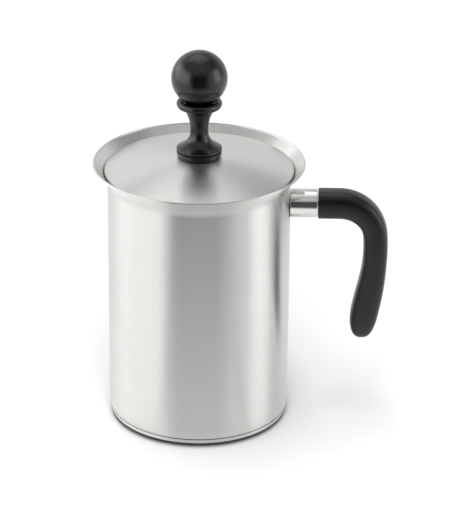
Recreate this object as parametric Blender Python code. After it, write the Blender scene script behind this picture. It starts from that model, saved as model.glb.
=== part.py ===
"""Manual milk frother: a flared steel jug, a domed lid and a plunger with two wire screens.

Units are metres and +Z is up. The origin is the centre of the base, on the jug's axis,
and the handle points along +X. The plunger is modelled pushed right down, with its knob
resting on the lid's bush.
"""
import math

import bmesh
import bpy
from mathutils import Matrix

# Clearances
SEAT_GAP = 0.0003
RUNNING_GAP = 0.0003
SCREEN_GAP = 0.0005

# Jug and its flared rim
SHEET = 0.0008
BODY_RADIUS = 0.0440
BODY_HEIGHT = 0.13175
FLOOR_CORNER_RADIUS = 0.0020
FOOT_TUCK = 0.0006
FOOT_HEIGHT = 0.0042
FLARE_REACH = 0.00645
FLARE_BEND_RADIUS = 0.0080
FLARE_ANGLE = math.radians(45.0)
RIM_BEAD_RADIUS = 0.0005

# Capped heat base
BASE_HEIGHT = 0.00445
BASE_GROOVE = 0.0004
BASE_EDGE_ROUND = 0.00155
BASE_EDGE_LIFT = 0.0018
BASE_EDGE_SLOPE = 0.0034

# Handle
HANDLE_BELOW_RIM = 0.02015
FERRULE_RADIUS = 0.0070
FERRULE_WALL = 0.0015
FERRULE_LENGTH = 0.0127
BOSS_LENGTH = 0.0080
BOSS_BORE_DEPTH = 0.0055
HANDLE_ROD_RADIUS = 0.0030
HANDLE_ROD_IN_GRIP = 0.0125
GRIP_ROOT_THICKNESS = 0.0138
GRIP_NARROW_THICKNESS = 0.0119
GRIP_SWELL_THICKNESS = 0.0136
GRIP_WIDTH = 0.0138
GRIP_SQUARENESS = 3.0
GRIP_EDGE_ROUND = 0.0006
GRIP_STRAIGHT = 0.0105
GRIP_BEND_RADIUS = 0.0175
GRIP_BEND_ANGLE = math.radians(86.0)
GRIP_TAIL_DROP = 0.0545
GRIP_TAIL_TUCK = 0.0056
GRIP_TAIL_LEAVE = 0.0240
GRIP_TAIL_ARRIVE = 0.0165
GRIP_SWELL_BELOW_BEND = 0.0110
GRIP_SWELL_ABOVE_TIP = 0.0180
GRIP_TIP_ROUND = 0.0158
GRIP_TIP_FULLNESS = 2.4
GRIP_SCREW_INSET = 0.0060
GRIP_SCREW_RADIUS = 0.0015
GRIP_SCREW_HEAD_RADIUS = 0.0029
GRIP_SCREW_HEAD_HEIGHT = 0.0020
GRIP_SCREW_SINK = 0.0010
GRIP_SCREW_BITE = 0.0040
GRIP_SCREW_SOCKET_RADIUS = 0.0011
GRIP_SCREW_SOCKET_DEPTH = 0.0012

# Lid
LID_SEAT_REACH = 0.0015
LID_LIP = 0.0003
LID_SHOULDER_RADIUS = 0.0012
LID_RISE = 0.0079
BUSH_FLANGE_RADIUS = 0.0108
BUSH_FLANGE_HEIGHT = 0.0023
BUSH_EDGE_ROUND = 0.0008
BUSH_WALL = 0.0032
BUSH_STUB = 0.0010
BUSH_NUT_FLATS = 0.0170
BUSH_NUT_HEIGHT = 0.0035

# Knob, heights above the face that rests on the bush
KNOB_FOOT_RADIUS = 0.0109
KNOB_FOOT_ROUND = 0.0007
KNOB_FLARE_SHARPNESS = 2.8
KNOB_NECK_WALL = 0.0011
KNOB_NECK_CURVE = 0.0190
KNOB_NECK_HEIGHT = 0.0105
KNOB_COLLAR_RADIUS = 0.0109
KNOB_COLLAR_ROUND = 0.0020
KNOB_COLLAR_HEIGHT = 0.0235
KNOB_COLLAR_LOW_TURN = math.radians(-60.0)
KNOB_COLLAR_HIGH_TURN = math.radians(60.0)
KNOB_CUP_DEPTH = 0.0014
KNOB_CUP_LIP = 0.0012
BALL_RADIUS = 0.0134
BALL_SINK = 0.0009
INSERT_WALL = 0.0006
INSERT_LENGTH = 0.0100
ROD_PAST_INSERT = 0.0055

# Plunger rod and screens
ROD_RADIUS = 0.0020
NUT_LIFT = 0.0015
NUT_FLATS = 0.0090
NUT_HEIGHT = 0.0050
NUT_CROWN = 0.0012
PLATE_THICKNESS = 0.0008
PLATE_MARGIN = 0.0012
PLATE_RIM_WIDTH = 0.0040
PLATE_HUB_RADIUS = 0.0090
PLATE_SPOKES = 6
MESH_THICKNESS = 0.0006
EDGE_SPRING_WIRE_RADIUS = 0.0011
SPACER_WALL = 0.0022
SPACER_LENGTH = 0.0100
COLLAR_WALL = 0.0027
COLLAR_LENGTH = 0.0040

# Facets
JUG_SIDES = 48
KNOB_SIDES = 32
SMALL_SIDES = 24
GRIP_SIDES = 20
EDGE_SPRING_SIDES = 6
PLATE_CELLS_PER_SPOKE = 5
TUCK_STEPS = 2
FLARE_STEPS = 4
BEAD_STEPS = 8
CORNER_STEPS = 3
LID_STEPS = 4
NECK_STEPS = 10
COLLAR_STEPS = 5
BALL_STEPS = 10
GRIP_STRAIGHT_STEPS = 3
GRIP_BEND_STEPS = 8
GRIP_TAIL_STEPS = 18
GRIP_TIP_CROWDING = 1.6
SMOOTH_ANGLE = math.radians(35.0)
MERGE = 0.000001

# Turns that stand a piece up or lay it along the handle
UPRIGHT = (0.0, 0.0, 0.0)
ALONG_X = (0.0, math.pi / 2, 0.0)

# Heights and radii that follow from the sizes above
BORE_RADIUS = BODY_RADIUS - SHEET
JUG_UNDERSIDE = BASE_HEIGHT + BASE_GROOVE
JUG_FLOOR = JUG_UNDERSIDE + SHEET
WALL_MIDDLE = BODY_RADIUS - SHEET / 2
RIM_RADIUS = BODY_RADIUS + FLARE_REACH
FLARE_CENTRE = WALL_MIDDLE + FLARE_BEND_RADIUS
FLARE_BEND_REACH = FLARE_BEND_RADIUS * (1 - math.cos(FLARE_ANGLE))
FLARE_STRAIGHT = (RIM_RADIUS - WALL_MIDDLE - FLARE_BEND_REACH) / math.sin(FLARE_ANGLE)
FLARE_BEND_RISE = FLARE_BEND_RADIUS * math.sin(FLARE_ANGLE)
FLARE_START = BODY_HEIGHT - FLARE_BEND_RISE - FLARE_STRAIGHT * math.cos(FLARE_ANGLE)
BASE_TOP_RADIUS = BODY_RADIUS - FOOT_TUCK
BASE_FOOT_RADIUS = BASE_TOP_RADIUS - BASE_EDGE_ROUND
BASE_FLAT_RADIUS = BASE_FOOT_RADIUS - BASE_EDGE_SLOPE

HANDLE_HEIGHT = BODY_HEIGHT - HANDLE_BELOW_RIM
HANDLE_WALL = BODY_RADIUS + SEAT_GAP
FERRULE_BORE = FERRULE_RADIUS - FERRULE_WALL
BOSS_RADIUS = FERRULE_BORE - SEAT_GAP
BOSS_END = HANDLE_WALL + BOSS_LENGTH
FERRULE_END = HANDLE_WALL + FERRULE_LENGTH
GRIP_START = FERRULE_END + SEAT_GAP
HANDLE_ROD_START = BOSS_END - BOSS_BORE_DEPTH + SEAT_GAP
HANDLE_ROD_END = GRIP_START + HANDLE_ROD_IN_GRIP
GRIP_SCREW_PLACE = GRIP_START + GRIP_SCREW_INSET
GRIP_UNDERSIDE = HANDLE_HEIGHT - GRIP_ROOT_THICKNESS / 2

LID_RADIUS = BODY_RADIUS + LID_SEAT_REACH
BUSH_BORE = ROD_RADIUS + RUNNING_GAP
BUSH_SHANK_RADIUS = BUSH_BORE + BUSH_WALL
LID_HOLE_RADIUS = BUSH_SHANK_RADIUS + SEAT_GAP
LID_SHOULDER_CENTRE = LID_RADIUS - LID_SHOULDER_RADIUS
LID_DOME_ANGLE = 2 * math.atan((LID_RISE - LID_LIP - LID_SHOULDER_RADIUS) / LID_SHOULDER_CENTRE)
LID_DOME_RADIUS = LID_SHOULDER_CENTRE / math.sin(LID_DOME_ANGLE) + LID_SHOULDER_RADIUS

ROD_BORE = ROD_RADIUS + SEAT_GAP
INSERT_RADIUS = ROD_BORE + INSERT_WALL
INSERT_POCKET_RADIUS = INSERT_RADIUS + SEAT_GAP
KNOB_NECK_RADIUS = INSERT_POCKET_RADIUS + KNOB_NECK_WALL
KNOB_CUP_TOP = KNOB_COLLAR_HEIGHT + KNOB_COLLAR_ROUND * math.sin(KNOB_COLLAR_HIGH_TURN)
KNOB_CUP_FLOOR = KNOB_CUP_TOP - KNOB_CUP_DEPTH
BALL_HEIGHT = KNOB_CUP_FLOOR - BALL_SINK + BALL_RADIUS
BALL_SEAT_RADIUS = math.sqrt(BALL_SINK * (2 * BALL_RADIUS - BALL_SINK))

NUT_BASE = JUG_FLOOR + NUT_LIFT
LOWER_PLATE_BASE = NUT_BASE + NUT_HEIGHT + SEAT_GAP
LOWER_MESH_BASE = LOWER_PLATE_BASE + PLATE_THICKNESS + SEAT_GAP
SPACER_BASE = LOWER_MESH_BASE + MESH_THICKNESS + SEAT_GAP
UPPER_MESH_BASE = SPACER_BASE + SPACER_LENGTH + SEAT_GAP
UPPER_PLATE_BASE = UPPER_MESH_BASE + MESH_THICKNESS + SEAT_GAP
COLLAR_BASE = UPPER_PLATE_BASE + PLATE_THICKNESS + SEAT_GAP
EDGE_SPRING_RADIUS = BORE_RADIUS - SCREEN_GAP - EDGE_SPRING_WIRE_RADIUS
MESH_RADIUS = EDGE_SPRING_RADIUS - EDGE_SPRING_WIRE_RADIUS - SEAT_GAP
PLATE_RADIUS = MESH_RADIUS - PLATE_MARGIN


def clear_scene():
    """Empty the scene of objects."""
    for item in list(bpy.data.objects):
        bpy.data.objects.remove(item, do_unlink=True)


def finish(name, colour, roughness, metallic):
    """Make a plain material."""
    material = bpy.data.materials.new(name)
    material.use_nodes = True
    shader = material.node_tree.nodes["Principled BSDF"]
    shader.inputs["Base Color"].default_value = (*colour, 1.0)
    shader.inputs["Roughness"].default_value = roughness
    shader.inputs["Metallic"].default_value = metallic
    return material


def satin_steel(name):
    """Brushed stainless steel of the jug and the lid."""
    return finish(name, (0.72, 0.71, 0.69), 0.30, 1.0)


def bright_steel(name):
    """Polished stainless steel of the ferrule, the rod and the screens."""
    return finish(name, (0.78, 0.77, 0.75), 0.15, 1.0)


def black_plastic(name):
    """Satin black heat-proof plastic."""
    return finish(name, (0.018, 0.018, 0.018), 0.42, 0.0)


def arc(centre, radius, start, end, steps):
    """Points on a circular arc in the (radius, height) plane, both ends included."""
    angles = [start + (end - start) * step / steps for step in range(steps + 1)]
    return [(centre[0] + radius * math.cos(a), centre[1] + radius * math.sin(a)) for a in angles]


def object_from(name, mesh_data, material):
    """Turn a bmesh into a named, smooth-shaded object."""
    bmesh.ops.recalc_face_normals(mesh_data, faces=mesh_data.faces)
    mesh = bpy.data.meshes.new(name)
    mesh_data.to_mesh(mesh)
    mesh_data.free()
    mesh.materials.append(material)
    mesh.shade_smooth()
    mesh.set_sharp_from_angle(angle=SMOOTH_ANGLE)
    item = bpy.data.objects.new(name, mesh)
    bpy.context.collection.objects.link(item)
    return item


def turned_mesh(profile, sides):
    """Spin an outline of (radius, height) points round Z.

    An outline that starts and ends on the axis stays open, any other one is closed.
    """
    data = bmesh.new()
    corners = [data.verts.new((radius, 0.0, height)) for radius, height in profile]
    edges = [data.edges.new(pair) for pair in zip(corners, corners[1:])]
    if profile[0][0] > 0.0:
        edges.append(data.edges.new((corners[-1], corners[0])))
    bmesh.ops.spin(data, geom=corners + edges, cent=(0, 0, 0), axis=(0, 0, 1),
                   angle=math.tau, steps=sides, use_merge=True)
    bmesh.ops.remove_doubles(data, verts=data.verts, dist=MERGE)
    return data


def turned(name, profile, sides, material):
    """A turned piece, round Z."""
    return object_from(name, turned_mesh(profile, sides), material)


def solid_profile(radius, height):
    """The outline of a plain cylinder that stands on z = 0."""
    return [(0.0, 0.0), (radius, 0.0), (radius, height), (0.0, height)]


def washer_profile(inner, outer, height):
    """The outline of a plain ring that stands on z = 0."""
    return [(inner, 0.0), (outer, 0.0), (outer, height), (inner, height)]


def make_hexagonal(data, inside):
    """Pull every point that lies further out than inside in to a hexagon with the same corners."""
    side = math.pi / 3
    for vert in data.verts:
        radius = math.hypot(vert.co.x, vert.co.y)
        if radius <= inside:
            continue
        turn = math.atan2(vert.co.y, vert.co.x) % side - side / 2
        stretch = math.cos(side / 2) / math.cos(turn)
        vert.co.x *= stretch
        vert.co.y *= stretch


def corner_radius(flats):
    """The corner radius of a hexagon of the given width across its flats."""
    return flats / 2 / math.cos(math.pi / 6)


def cutter(name, profile, place, rotation):
    """A hidden turned shape that cuts another piece, standing on place.

    Its facets are turned by half a side, so that none of its edges lie on the piece's own.
    """
    data = turned_mesh(profile, SMALL_SIDES)
    data.transform(Matrix.Rotation(math.pi / SMALL_SIDES, 4, "Z"))
    bmesh.ops.recalc_face_normals(data, faces=data.faces)
    mesh = bpy.data.meshes.new(name)
    data.to_mesh(mesh)
    data.free()
    item = bpy.data.objects.new(name, mesh)
    bpy.context.collection.objects.link(item)
    item.location = place
    item.rotation_euler = rotation
    item.hide_render = True
    item.display_type = "WIRE"
    return item


def cut(item, tool):
    """Cut one piece with a hidden cutter."""
    boolean = item.modifiers.new(tool.name, "BOOLEAN")
    boolean.operation = "DIFFERENCE"
    boolean.solver = "EXACT"
    boolean.object = tool


def place_frame(name, height, parent=None):
    """An empty on the jug's axis that carries the pieces of a moving part."""
    frame = bpy.data.objects.new(name, None)
    bpy.context.collection.objects.link(frame)
    frame["height"] = height
    seat(frame, parent, height)
    return frame


def seat(item, frame, height):
    """Stand a piece at a height on the jug's axis, carried by a frame."""
    below = 0.0
    if frame is not None:
        item.parent = frame
        below = frame["height"]
    item.location = (0.0, 0.0, height - below)


def flare_point(offset, turn):
    """A point on the flare's bend, offset from the sheet's middle towards the inside."""
    radius = FLARE_BEND_RADIUS + offset
    return FLARE_CENTRE - radius * math.cos(turn), FLARE_START + radius * math.sin(turn)


def flare_seat_height(radius):
    """The height of the flare's inside face at a distance from the axis."""
    bend = FLARE_BEND_RADIUS + SHEET / 2
    end_radius, end_height = flare_point(SHEET / 2, FLARE_ANGLE)
    if radius < end_radius:
        return FLARE_START + bend * math.sin(math.acos((FLARE_CENTRE - radius) / bend))
    return end_height + (radius - end_radius) / math.tan(FLARE_ANGLE)


LID_EDGE = flare_seat_height(LID_RADIUS) + SEAT_GAP / math.sin(FLARE_ANGLE)
LID_TOP = LID_EDGE + LID_RISE
BUSH_BASE = LID_TOP + SEAT_GAP
KNOB_BASE = BUSH_BASE + BUSH_FLANGE_HEIGHT + SEAT_GAP


def lid_underside(radius):
    """The height of the dome's inside face at a distance from the axis."""
    dome = LID_DOME_RADIUS - SHEET
    return LID_TOP - LID_DOME_RADIUS + math.sqrt(dome * dome - radius * radius)


BUSH_NUT_TOP = lid_underside(corner_radius(BUSH_NUT_FLATS)) - SEAT_GAP
BUSH_END = BUSH_NUT_TOP - BUSH_NUT_HEIGHT - BUSH_STUB


def jug_profile():
    """The jug's outline, from the underside's middle round the rim to the floor's middle."""
    points = [(0.0, JUG_UNDERSIDE)]
    tuck_radius = (FOOT_HEIGHT ** 2 + FOOT_TUCK ** 2) / (2 * FOOT_TUCK)
    tuck_turn = math.asin(FOOT_HEIGHT / tuck_radius)
    tuck_centre = (BODY_RADIUS - tuck_radius, JUG_UNDERSIDE + FOOT_HEIGHT)
    points += arc(tuck_centre, tuck_radius, -tuck_turn, 0.0, TUCK_STEPS)
    bend_turns = [FLARE_ANGLE * step / FLARE_STEPS for step in range(FLARE_STEPS + 1)]
    points += [flare_point(-SHEET / 2, turn) for turn in bend_turns]
    join = math.asin(SHEET / 2 / RIM_BEAD_RADIUS)
    back = 1.5 * math.pi - FLARE_ANGLE
    rim = (RIM_RADIUS, BODY_HEIGHT)
    points += arc(rim, RIM_BEAD_RADIUS, back + join, back + math.tau - join, BEAD_STEPS)
    points += [flare_point(SHEET / 2, turn) for turn in reversed(bend_turns)]
    corner = (BORE_RADIUS - FLOOR_CORNER_RADIUS, JUG_FLOOR + FLOOR_CORNER_RADIUS)
    points += arc(corner, FLOOR_CORNER_RADIUS, 0.0, -math.pi / 2, CORNER_STEPS)
    points.append((0.0, JUG_FLOOR))
    return points


def make_jug_shell():
    """The drawn jug with its flared, rolled rim."""
    turned("jug_shell", jug_profile(), JUG_SIDES, satin_steel("jug_steel"))


def make_base_cap():
    """The steel dish that closes the heat base."""
    turns = [math.pi / 2 * step / CORNER_STEPS for step in range(CORNER_STEPS + 1)]
    side = BASE_HEIGHT - BASE_EDGE_LIFT
    outer = [(BASE_FOOT_RADIUS + BASE_EDGE_ROUND * math.sin(t), BASE_EDGE_LIFT + side * (1 - math.cos(t)))
             for t in turns]
    lift = BASE_EDGE_LIFT + SHEET
    inner = [(BASE_FOOT_RADIUS - SHEET + BASE_EDGE_ROUND * math.sin(t),
              lift + (BASE_HEIGHT - lift) * (1 - math.cos(t))) for t in turns]
    profile = [(0.0, 0.0), (BASE_FLAT_RADIUS, 0.0)] + outer
    profile += inner[::-1] + [(BASE_FLAT_RADIUS, SHEET), (0.0, SHEET)]
    turned("base_cap", profile, JUG_SIDES, satin_steel("base_steel"))


def make_base_core():
    """The aluminium disc that spreads the heat."""
    floor = SHEET + SEAT_GAP
    thickness = JUG_UNDERSIDE - SEAT_GAP - floor
    radius = BASE_FLAT_RADIUS - SHEET
    aluminium = finish("aluminium", (0.66, 0.67, 0.68), 0.45, 1.0)
    core = turned("base_core", solid_profile(radius, thickness), JUG_SIDES, aluminium)
    seat(core, None, floor)


def lay_along_handle(item):
    """Turn a piece that was spun round Z so that it runs out along the handle."""
    item.rotation_euler = ALONG_X
    item.location = (0.0, 0.0, HANDLE_HEIGHT)


def cope(data, wall_radius, end):
    """Curve the face at height end so that it follows the jug's wall once it is laid along X."""
    for vert in data.verts:
        if abs(vert.co.z - end) < MERGE:
            vert.co.z = math.sqrt(wall_radius ** 2 - vert.co.y ** 2)


def make_handle_boss():
    """The boss on the jug's wall that takes the handle's rod."""
    bore = HANDLE_ROD_RADIUS + SEAT_GAP
    bore_end = BOSS_END - BOSS_BORE_DEPTH
    profile = [(0.0, HANDLE_WALL), (BOSS_RADIUS, HANDLE_WALL), (BOSS_RADIUS, BOSS_END),
               (bore, BOSS_END), (bore, bore_end), (0.0, bore_end)]
    data = turned_mesh(profile, SMALL_SIDES)
    cope(data, HANDLE_WALL, HANDLE_WALL)
    lay_along_handle(object_from("handle_boss", data, bright_steel("boss_steel")))


def make_handle_ferrule():
    """The steel sleeve between the jug and the grip."""
    profile = [(FERRULE_BORE, HANDLE_WALL), (FERRULE_RADIUS, HANDLE_WALL),
               (FERRULE_RADIUS, FERRULE_END), (FERRULE_BORE, FERRULE_END)]
    data = turned_mesh(profile, KNOB_SIDES)
    cope(data, HANDLE_WALL, HANDLE_WALL)
    lay_along_handle(object_from("handle_ferrule", data, bright_steel("ferrule_steel")))


def grip_stations():
    """Points along the grip's middle line, each with its direction, closer together at the tip."""
    stations = []
    bend_start = GRIP_START + GRIP_STRAIGHT
    for step in range(GRIP_STRAIGHT_STEPS):
        along = GRIP_STRAIGHT * step / GRIP_STRAIGHT_STEPS
        stations.append((GRIP_START + along, HANDLE_HEIGHT, 0.0))
    bend_centre = HANDLE_HEIGHT - GRIP_BEND_RADIUS
    for step in range(GRIP_BEND_STEPS):
        turn = GRIP_BEND_ANGLE * step / GRIP_BEND_STEPS
        stations.append((bend_start + GRIP_BEND_RADIUS * math.sin(turn),
                         bend_centre + GRIP_BEND_RADIUS * math.cos(turn), turn))
    start = (bend_start + GRIP_BEND_RADIUS * math.sin(GRIP_BEND_ANGLE),
             bend_centre + GRIP_BEND_RADIUS * math.cos(GRIP_BEND_ANGLE))
    tip = (start[0] - GRIP_TAIL_TUCK, start[1] - GRIP_TAIL_DROP)
    leave = (start[0] + GRIP_TAIL_LEAVE * math.cos(GRIP_BEND_ANGLE),
             start[1] - GRIP_TAIL_LEAVE * math.sin(GRIP_BEND_ANGLE))
    arrive = (tip[0], tip[1] + GRIP_TAIL_ARRIVE)
    for step in range(GRIP_TAIL_STEPS + 1):
        u = (1 - step / GRIP_TAIL_STEPS) ** GRIP_TIP_CROWDING
        t = 1 - u
        place = [u ** 3 * a + 3 * u * u * t * b + 3 * u * t * t * c + t ** 3 * d
                 for a, b, c, d in zip(start, leave, arrive, tip)]
        slope = [3 * u * u * (b - a) + 6 * u * t * (c - b) + 3 * t * t * (d - c)
                 for a, b, c, d in zip(start, leave, arrive, tip)]
        stations.append((place[0], place[1], math.atan2(-slope[1], slope[0])))
    return stations


def blend(low, high, share):
    """Ease from low to high as share goes from 0 to 1."""
    share = min(max(share, 0.0), 1.0)
    return low + (high - low) * (0.5 - 0.5 * math.cos(math.pi * share))


def grip_sections():
    """The grip's cross-sections: middle point, direction, half thickness and half width."""
    stations = grip_stations()
    distances = [0.0]
    for here, there in zip(stations, stations[1:]):
        distances.append(distances[-1] + math.dist(here[:2], there[:2]))
    bend_start = GRIP_STRAIGHT
    bend_end = bend_start + GRIP_BEND_RADIUS * GRIP_BEND_ANGLE
    length = distances[-1]
    swell_start = bend_end + GRIP_SWELL_BELOW_BEND
    swell_end = length - GRIP_SWELL_ABOVE_TIP
    sections = []
    for (x, z, turn), along in zip(stations, distances):
        thickness = blend(GRIP_ROOT_THICKNESS, GRIP_NARROW_THICKNESS,
                          (along - bend_start) / (bend_end - bend_start))
        thickness += blend(0.0, GRIP_SWELL_THICKNESS - GRIP_NARROW_THICKNESS,
                           (along - swell_start) / (swell_end - swell_start))
        into_tip = max(0.0, 1 - (length - along) / GRIP_TIP_ROUND)
        size = max(0.0, 1 - into_tip ** GRIP_TIP_FULLNESS) ** (1 / GRIP_TIP_FULLNESS)
        sections.append((x, z, turn, size * thickness / 2, size * GRIP_WIDTH / 2))
    return sections


def squared(share):
    """A sine or cosine bent so that a round section becomes a square one with round corners."""
    return math.copysign(abs(share) ** (2 / GRIP_SQUARENESS), share)


def make_handle_grip():
    """The hooked plastic grip, free at its lower end."""
    data = bmesh.new()
    sections = grip_sections()
    x, z, turn, thick, wide = sections[0]
    sections[0] = (x + GRIP_EDGE_ROUND, z, turn, thick, wide)
    sections.insert(0, (x, z, turn, thick - GRIP_EDGE_ROUND, wide - GRIP_EDGE_ROUND))
    rings = []
    for x, z, turn, thick, wide in sections[:-1]:
        ring = []
        for side in range(GRIP_SIDES):
            angle = math.tau * side / GRIP_SIDES
            out = thick * squared(math.cos(angle))
            ring.append(data.verts.new((x + out * math.sin(turn), wide * squared(math.sin(angle)),
                                        z + out * math.cos(turn))))
        rings.append(ring)
    tip = data.verts.new((sections[-1][0], 0.0, sections[-1][1]))
    for ring, after in zip(rings, rings[1:]):
        for side in range(GRIP_SIDES):
            beside = (side + 1) % GRIP_SIDES
            data.faces.new((ring[side], ring[beside], after[beside], after[side]))
    for side in range(GRIP_SIDES):
        data.faces.new((rings[-1][side], rings[-1][(side + 1) % GRIP_SIDES], tip))
    data.faces.new(rings[0])
    grip = object_from("handle_grip", data, black_plastic("grip_plastic"))
    socket = solid_profile(HANDLE_ROD_RADIUS + SEAT_GAP, HANDLE_ROD_IN_GRIP + SEAT_GAP + GRIP_EDGE_ROUND)
    cut(grip, cutter("rod_socket", socket, (GRIP_START - GRIP_EDGE_ROUND, 0.0, HANDLE_HEIGHT), ALONG_X))
    head = GRIP_SCREW_HEAD_RADIUS + SEAT_GAP
    shank = GRIP_SCREW_RADIUS + SEAT_GAP
    step = 2 * GRIP_SCREW_SINK + GRIP_SCREW_HEAD_HEIGHT + SEAT_GAP
    top = GRIP_ROOT_THICKNESS / 2 + GRIP_SCREW_SINK
    hole = [(0.0, 0.0), (head, 0.0), (head, step), (shank, step), (shank, top), (0.0, top)]
    mouth = (GRIP_SCREW_PLACE, 0.0, GRIP_UNDERSIDE - GRIP_SCREW_SINK)
    cut(grip, cutter("screw_hole", hole, mouth, UPRIGHT))


def make_handle_rod():
    """The rod that ties the grip to the boss."""
    length = HANDLE_ROD_END - HANDLE_ROD_START
    profile = solid_profile(HANDLE_ROD_RADIUS, length)
    rod = turned("handle_rod", profile, SMALL_SIDES, bright_steel("handle_rod_steel"))
    rod.rotation_euler = ALONG_X
    rod.location = (HANDLE_ROD_START, 0.0, HANDLE_HEIGHT)
    hole_base = HANDLE_HEIGHT - 2 * HANDLE_ROD_RADIUS
    hole = solid_profile(GRIP_SCREW_RADIUS + SEAT_GAP, HANDLE_ROD_RADIUS + GRIP_SCREW_BITE + SEAT_GAP)
    cut(rod, cutter("rod_cross_hole", hole, (GRIP_SCREW_PLACE, 0.0, hole_base), UPRIGHT))


def make_handle_screw():
    """The socket-head screw that holds the grip on its rod, from beneath."""
    end = HANDLE_HEIGHT - HANDLE_ROD_RADIUS + GRIP_SCREW_BITE
    base = GRIP_UNDERSIDE + GRIP_SCREW_SINK
    head = GRIP_SCREW_HEAD_HEIGHT
    socket = GRIP_SCREW_SOCKET_DEPTH
    profile = [(0.0, socket), (GRIP_SCREW_SOCKET_RADIUS, socket), (GRIP_SCREW_SOCKET_RADIUS, 0.0),
               (GRIP_SCREW_HEAD_RADIUS, 0.0), (GRIP_SCREW_HEAD_RADIUS, head),
               (GRIP_SCREW_RADIUS, head), (GRIP_SCREW_RADIUS, end - base), (0.0, end - base)]
    screw = turned("handle_screw", profile, SMALL_SIDES, bright_steel("screw_steel"))
    screw.location = (GRIP_SCREW_PLACE, 0.0, base)


def make_lid_shell(frame):
    """The domed lid that lies in the flare."""
    shoulder = (LID_SHOULDER_CENTRE, LID_LIP)
    dome_centre = (0.0, LID_RISE - LID_DOME_RADIUS)
    dome_end = math.pi / 2 - LID_DOME_ANGLE

    def face(depth):
        radius = LID_DOME_RADIUS - depth
        hole = math.acos(LID_HOLE_RADIUS / radius)
        points = arc(dome_centre, radius, hole, dome_end, LID_STEPS)
        points += arc(shoulder, LID_SHOULDER_RADIUS - depth, dome_end, 0.0, LID_STEPS)[1:]
        points.append((LID_RADIUS - depth, 0.0))
        return points

    profile = face(0.0) + face(SHEET)[::-1]
    lid = turned("lid_shell", profile, JUG_SIDES, satin_steel("lid_steel"))
    seat(lid, frame, LID_EDGE)


def make_lid_bush(frame):
    """The black bush that guides the rod and carries the knob."""
    foot = BUSH_END - BUSH_BASE
    flange = BUSH_FLANGE_RADIUS - BUSH_EDGE_ROUND
    profile = [(BUSH_BORE, foot), (BUSH_SHANK_RADIUS, foot), (BUSH_SHANK_RADIUS, 0.0), (flange, 0.0)]
    profile += arc((flange, BUSH_EDGE_ROUND), BUSH_EDGE_ROUND, -math.pi / 2, 0.0, CORNER_STEPS)[1:]
    profile += [(BUSH_FLANGE_RADIUS, BUSH_FLANGE_HEIGHT), (BUSH_BORE, BUSH_FLANGE_HEIGHT)]
    bush = turned("lid_bush", profile, KNOB_SIDES, black_plastic("bush_plastic"))
    seat(bush, frame, BUSH_BASE)


def make_lid_bush_nut(frame):
    """The nut that draws the bush down on the lid."""
    outer = corner_radius(BUSH_NUT_FLATS)
    data = turned_mesh(washer_profile(LID_HOLE_RADIUS, outer, BUSH_NUT_HEIGHT), SMALL_SIDES)
    make_hexagonal(data, LID_HOLE_RADIUS + MERGE)
    nut = object_from("lid_bush_nut", data, bright_steel("bush_nut_steel"))
    seat(nut, frame, BUSH_NUT_TOP - BUSH_NUT_HEIGHT)


def neck_radius(height):
    """The knob's waisted neck: a circular hollow above its narrowest height and a flare below."""
    away = height - KNOB_NECK_HEIGHT
    if away > 0.0:
        return KNOB_NECK_RADIUS + KNOB_NECK_CURVE - math.sqrt(KNOB_NECK_CURVE ** 2 - away ** 2)
    flare = KNOB_FOOT_RADIUS - KNOB_FOOT_ROUND - KNOB_NECK_RADIUS
    share = away / (2 * KNOB_FOOT_ROUND - KNOB_NECK_HEIGHT)
    return KNOB_NECK_RADIUS + flare * share ** KNOB_FLARE_SHARPNESS


def knob_profile():
    """The knob's outline, from the bore's inner end round the foot and up over the ball."""
    rod_end = INSERT_LENGTH + SEAT_GAP + ROD_PAST_INSERT + SEAT_GAP
    pocket = INSERT_LENGTH + SEAT_GAP
    points = [(0.0, rod_end), (ROD_BORE, rod_end), (ROD_BORE, pocket),
              (INSERT_POCKET_RADIUS, pocket), (INSERT_POCKET_RADIUS, 0.0)]
    foot = (KNOB_FOOT_RADIUS - KNOB_FOOT_ROUND, KNOB_FOOT_ROUND)
    points += arc(foot, KNOB_FOOT_ROUND, -math.pi / 2, math.pi / 2, 2 * CORNER_STEPS)
    neck_start = 2 * KNOB_FOOT_ROUND
    collar_base = KNOB_COLLAR_HEIGHT - KNOB_COLLAR_ROUND
    for step in range(1, NECK_STEPS + 1):
        height = neck_start + (collar_base - neck_start) * step / NECK_STEPS
        points.append((neck_radius(height), height))
    collar = (KNOB_COLLAR_RADIUS - KNOB_COLLAR_ROUND, KNOB_COLLAR_HEIGHT)
    points += arc(collar, KNOB_COLLAR_ROUND, KNOB_COLLAR_LOW_TURN, KNOB_COLLAR_HIGH_TURN, COLLAR_STEPS)
    cup_edge = points[-1][0]
    points.append((cup_edge - KNOB_CUP_LIP, KNOB_CUP_TOP))
    points.append(((cup_edge + BALL_SEAT_RADIUS) / 2, KNOB_CUP_FLOOR))
    start = -math.acos(BALL_SEAT_RADIUS / BALL_RADIUS)
    points += arc((0.0, BALL_HEIGHT), BALL_RADIUS, start, math.pi / 2, BALL_STEPS)[:-1]
    points.append((0.0, BALL_HEIGHT + BALL_RADIUS))
    return points


def make_knob(frame):
    """The black knob: a ball in a cup, a waisted neck and a foot."""
    knob = turned("knob", knob_profile(), KNOB_SIDES, black_plastic("knob_plastic"))
    seat(knob, frame, KNOB_BASE)


def make_knob_insert(frame):
    """The brass insert that takes the rod's thread."""
    profile = washer_profile(ROD_BORE, INSERT_RADIUS, INSERT_LENGTH)
    insert = turned("knob_insert", profile, SMALL_SIDES, finish("brass", (0.72, 0.53, 0.24), 0.3, 1.0))
    seat(insert, frame, KNOB_BASE)


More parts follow.
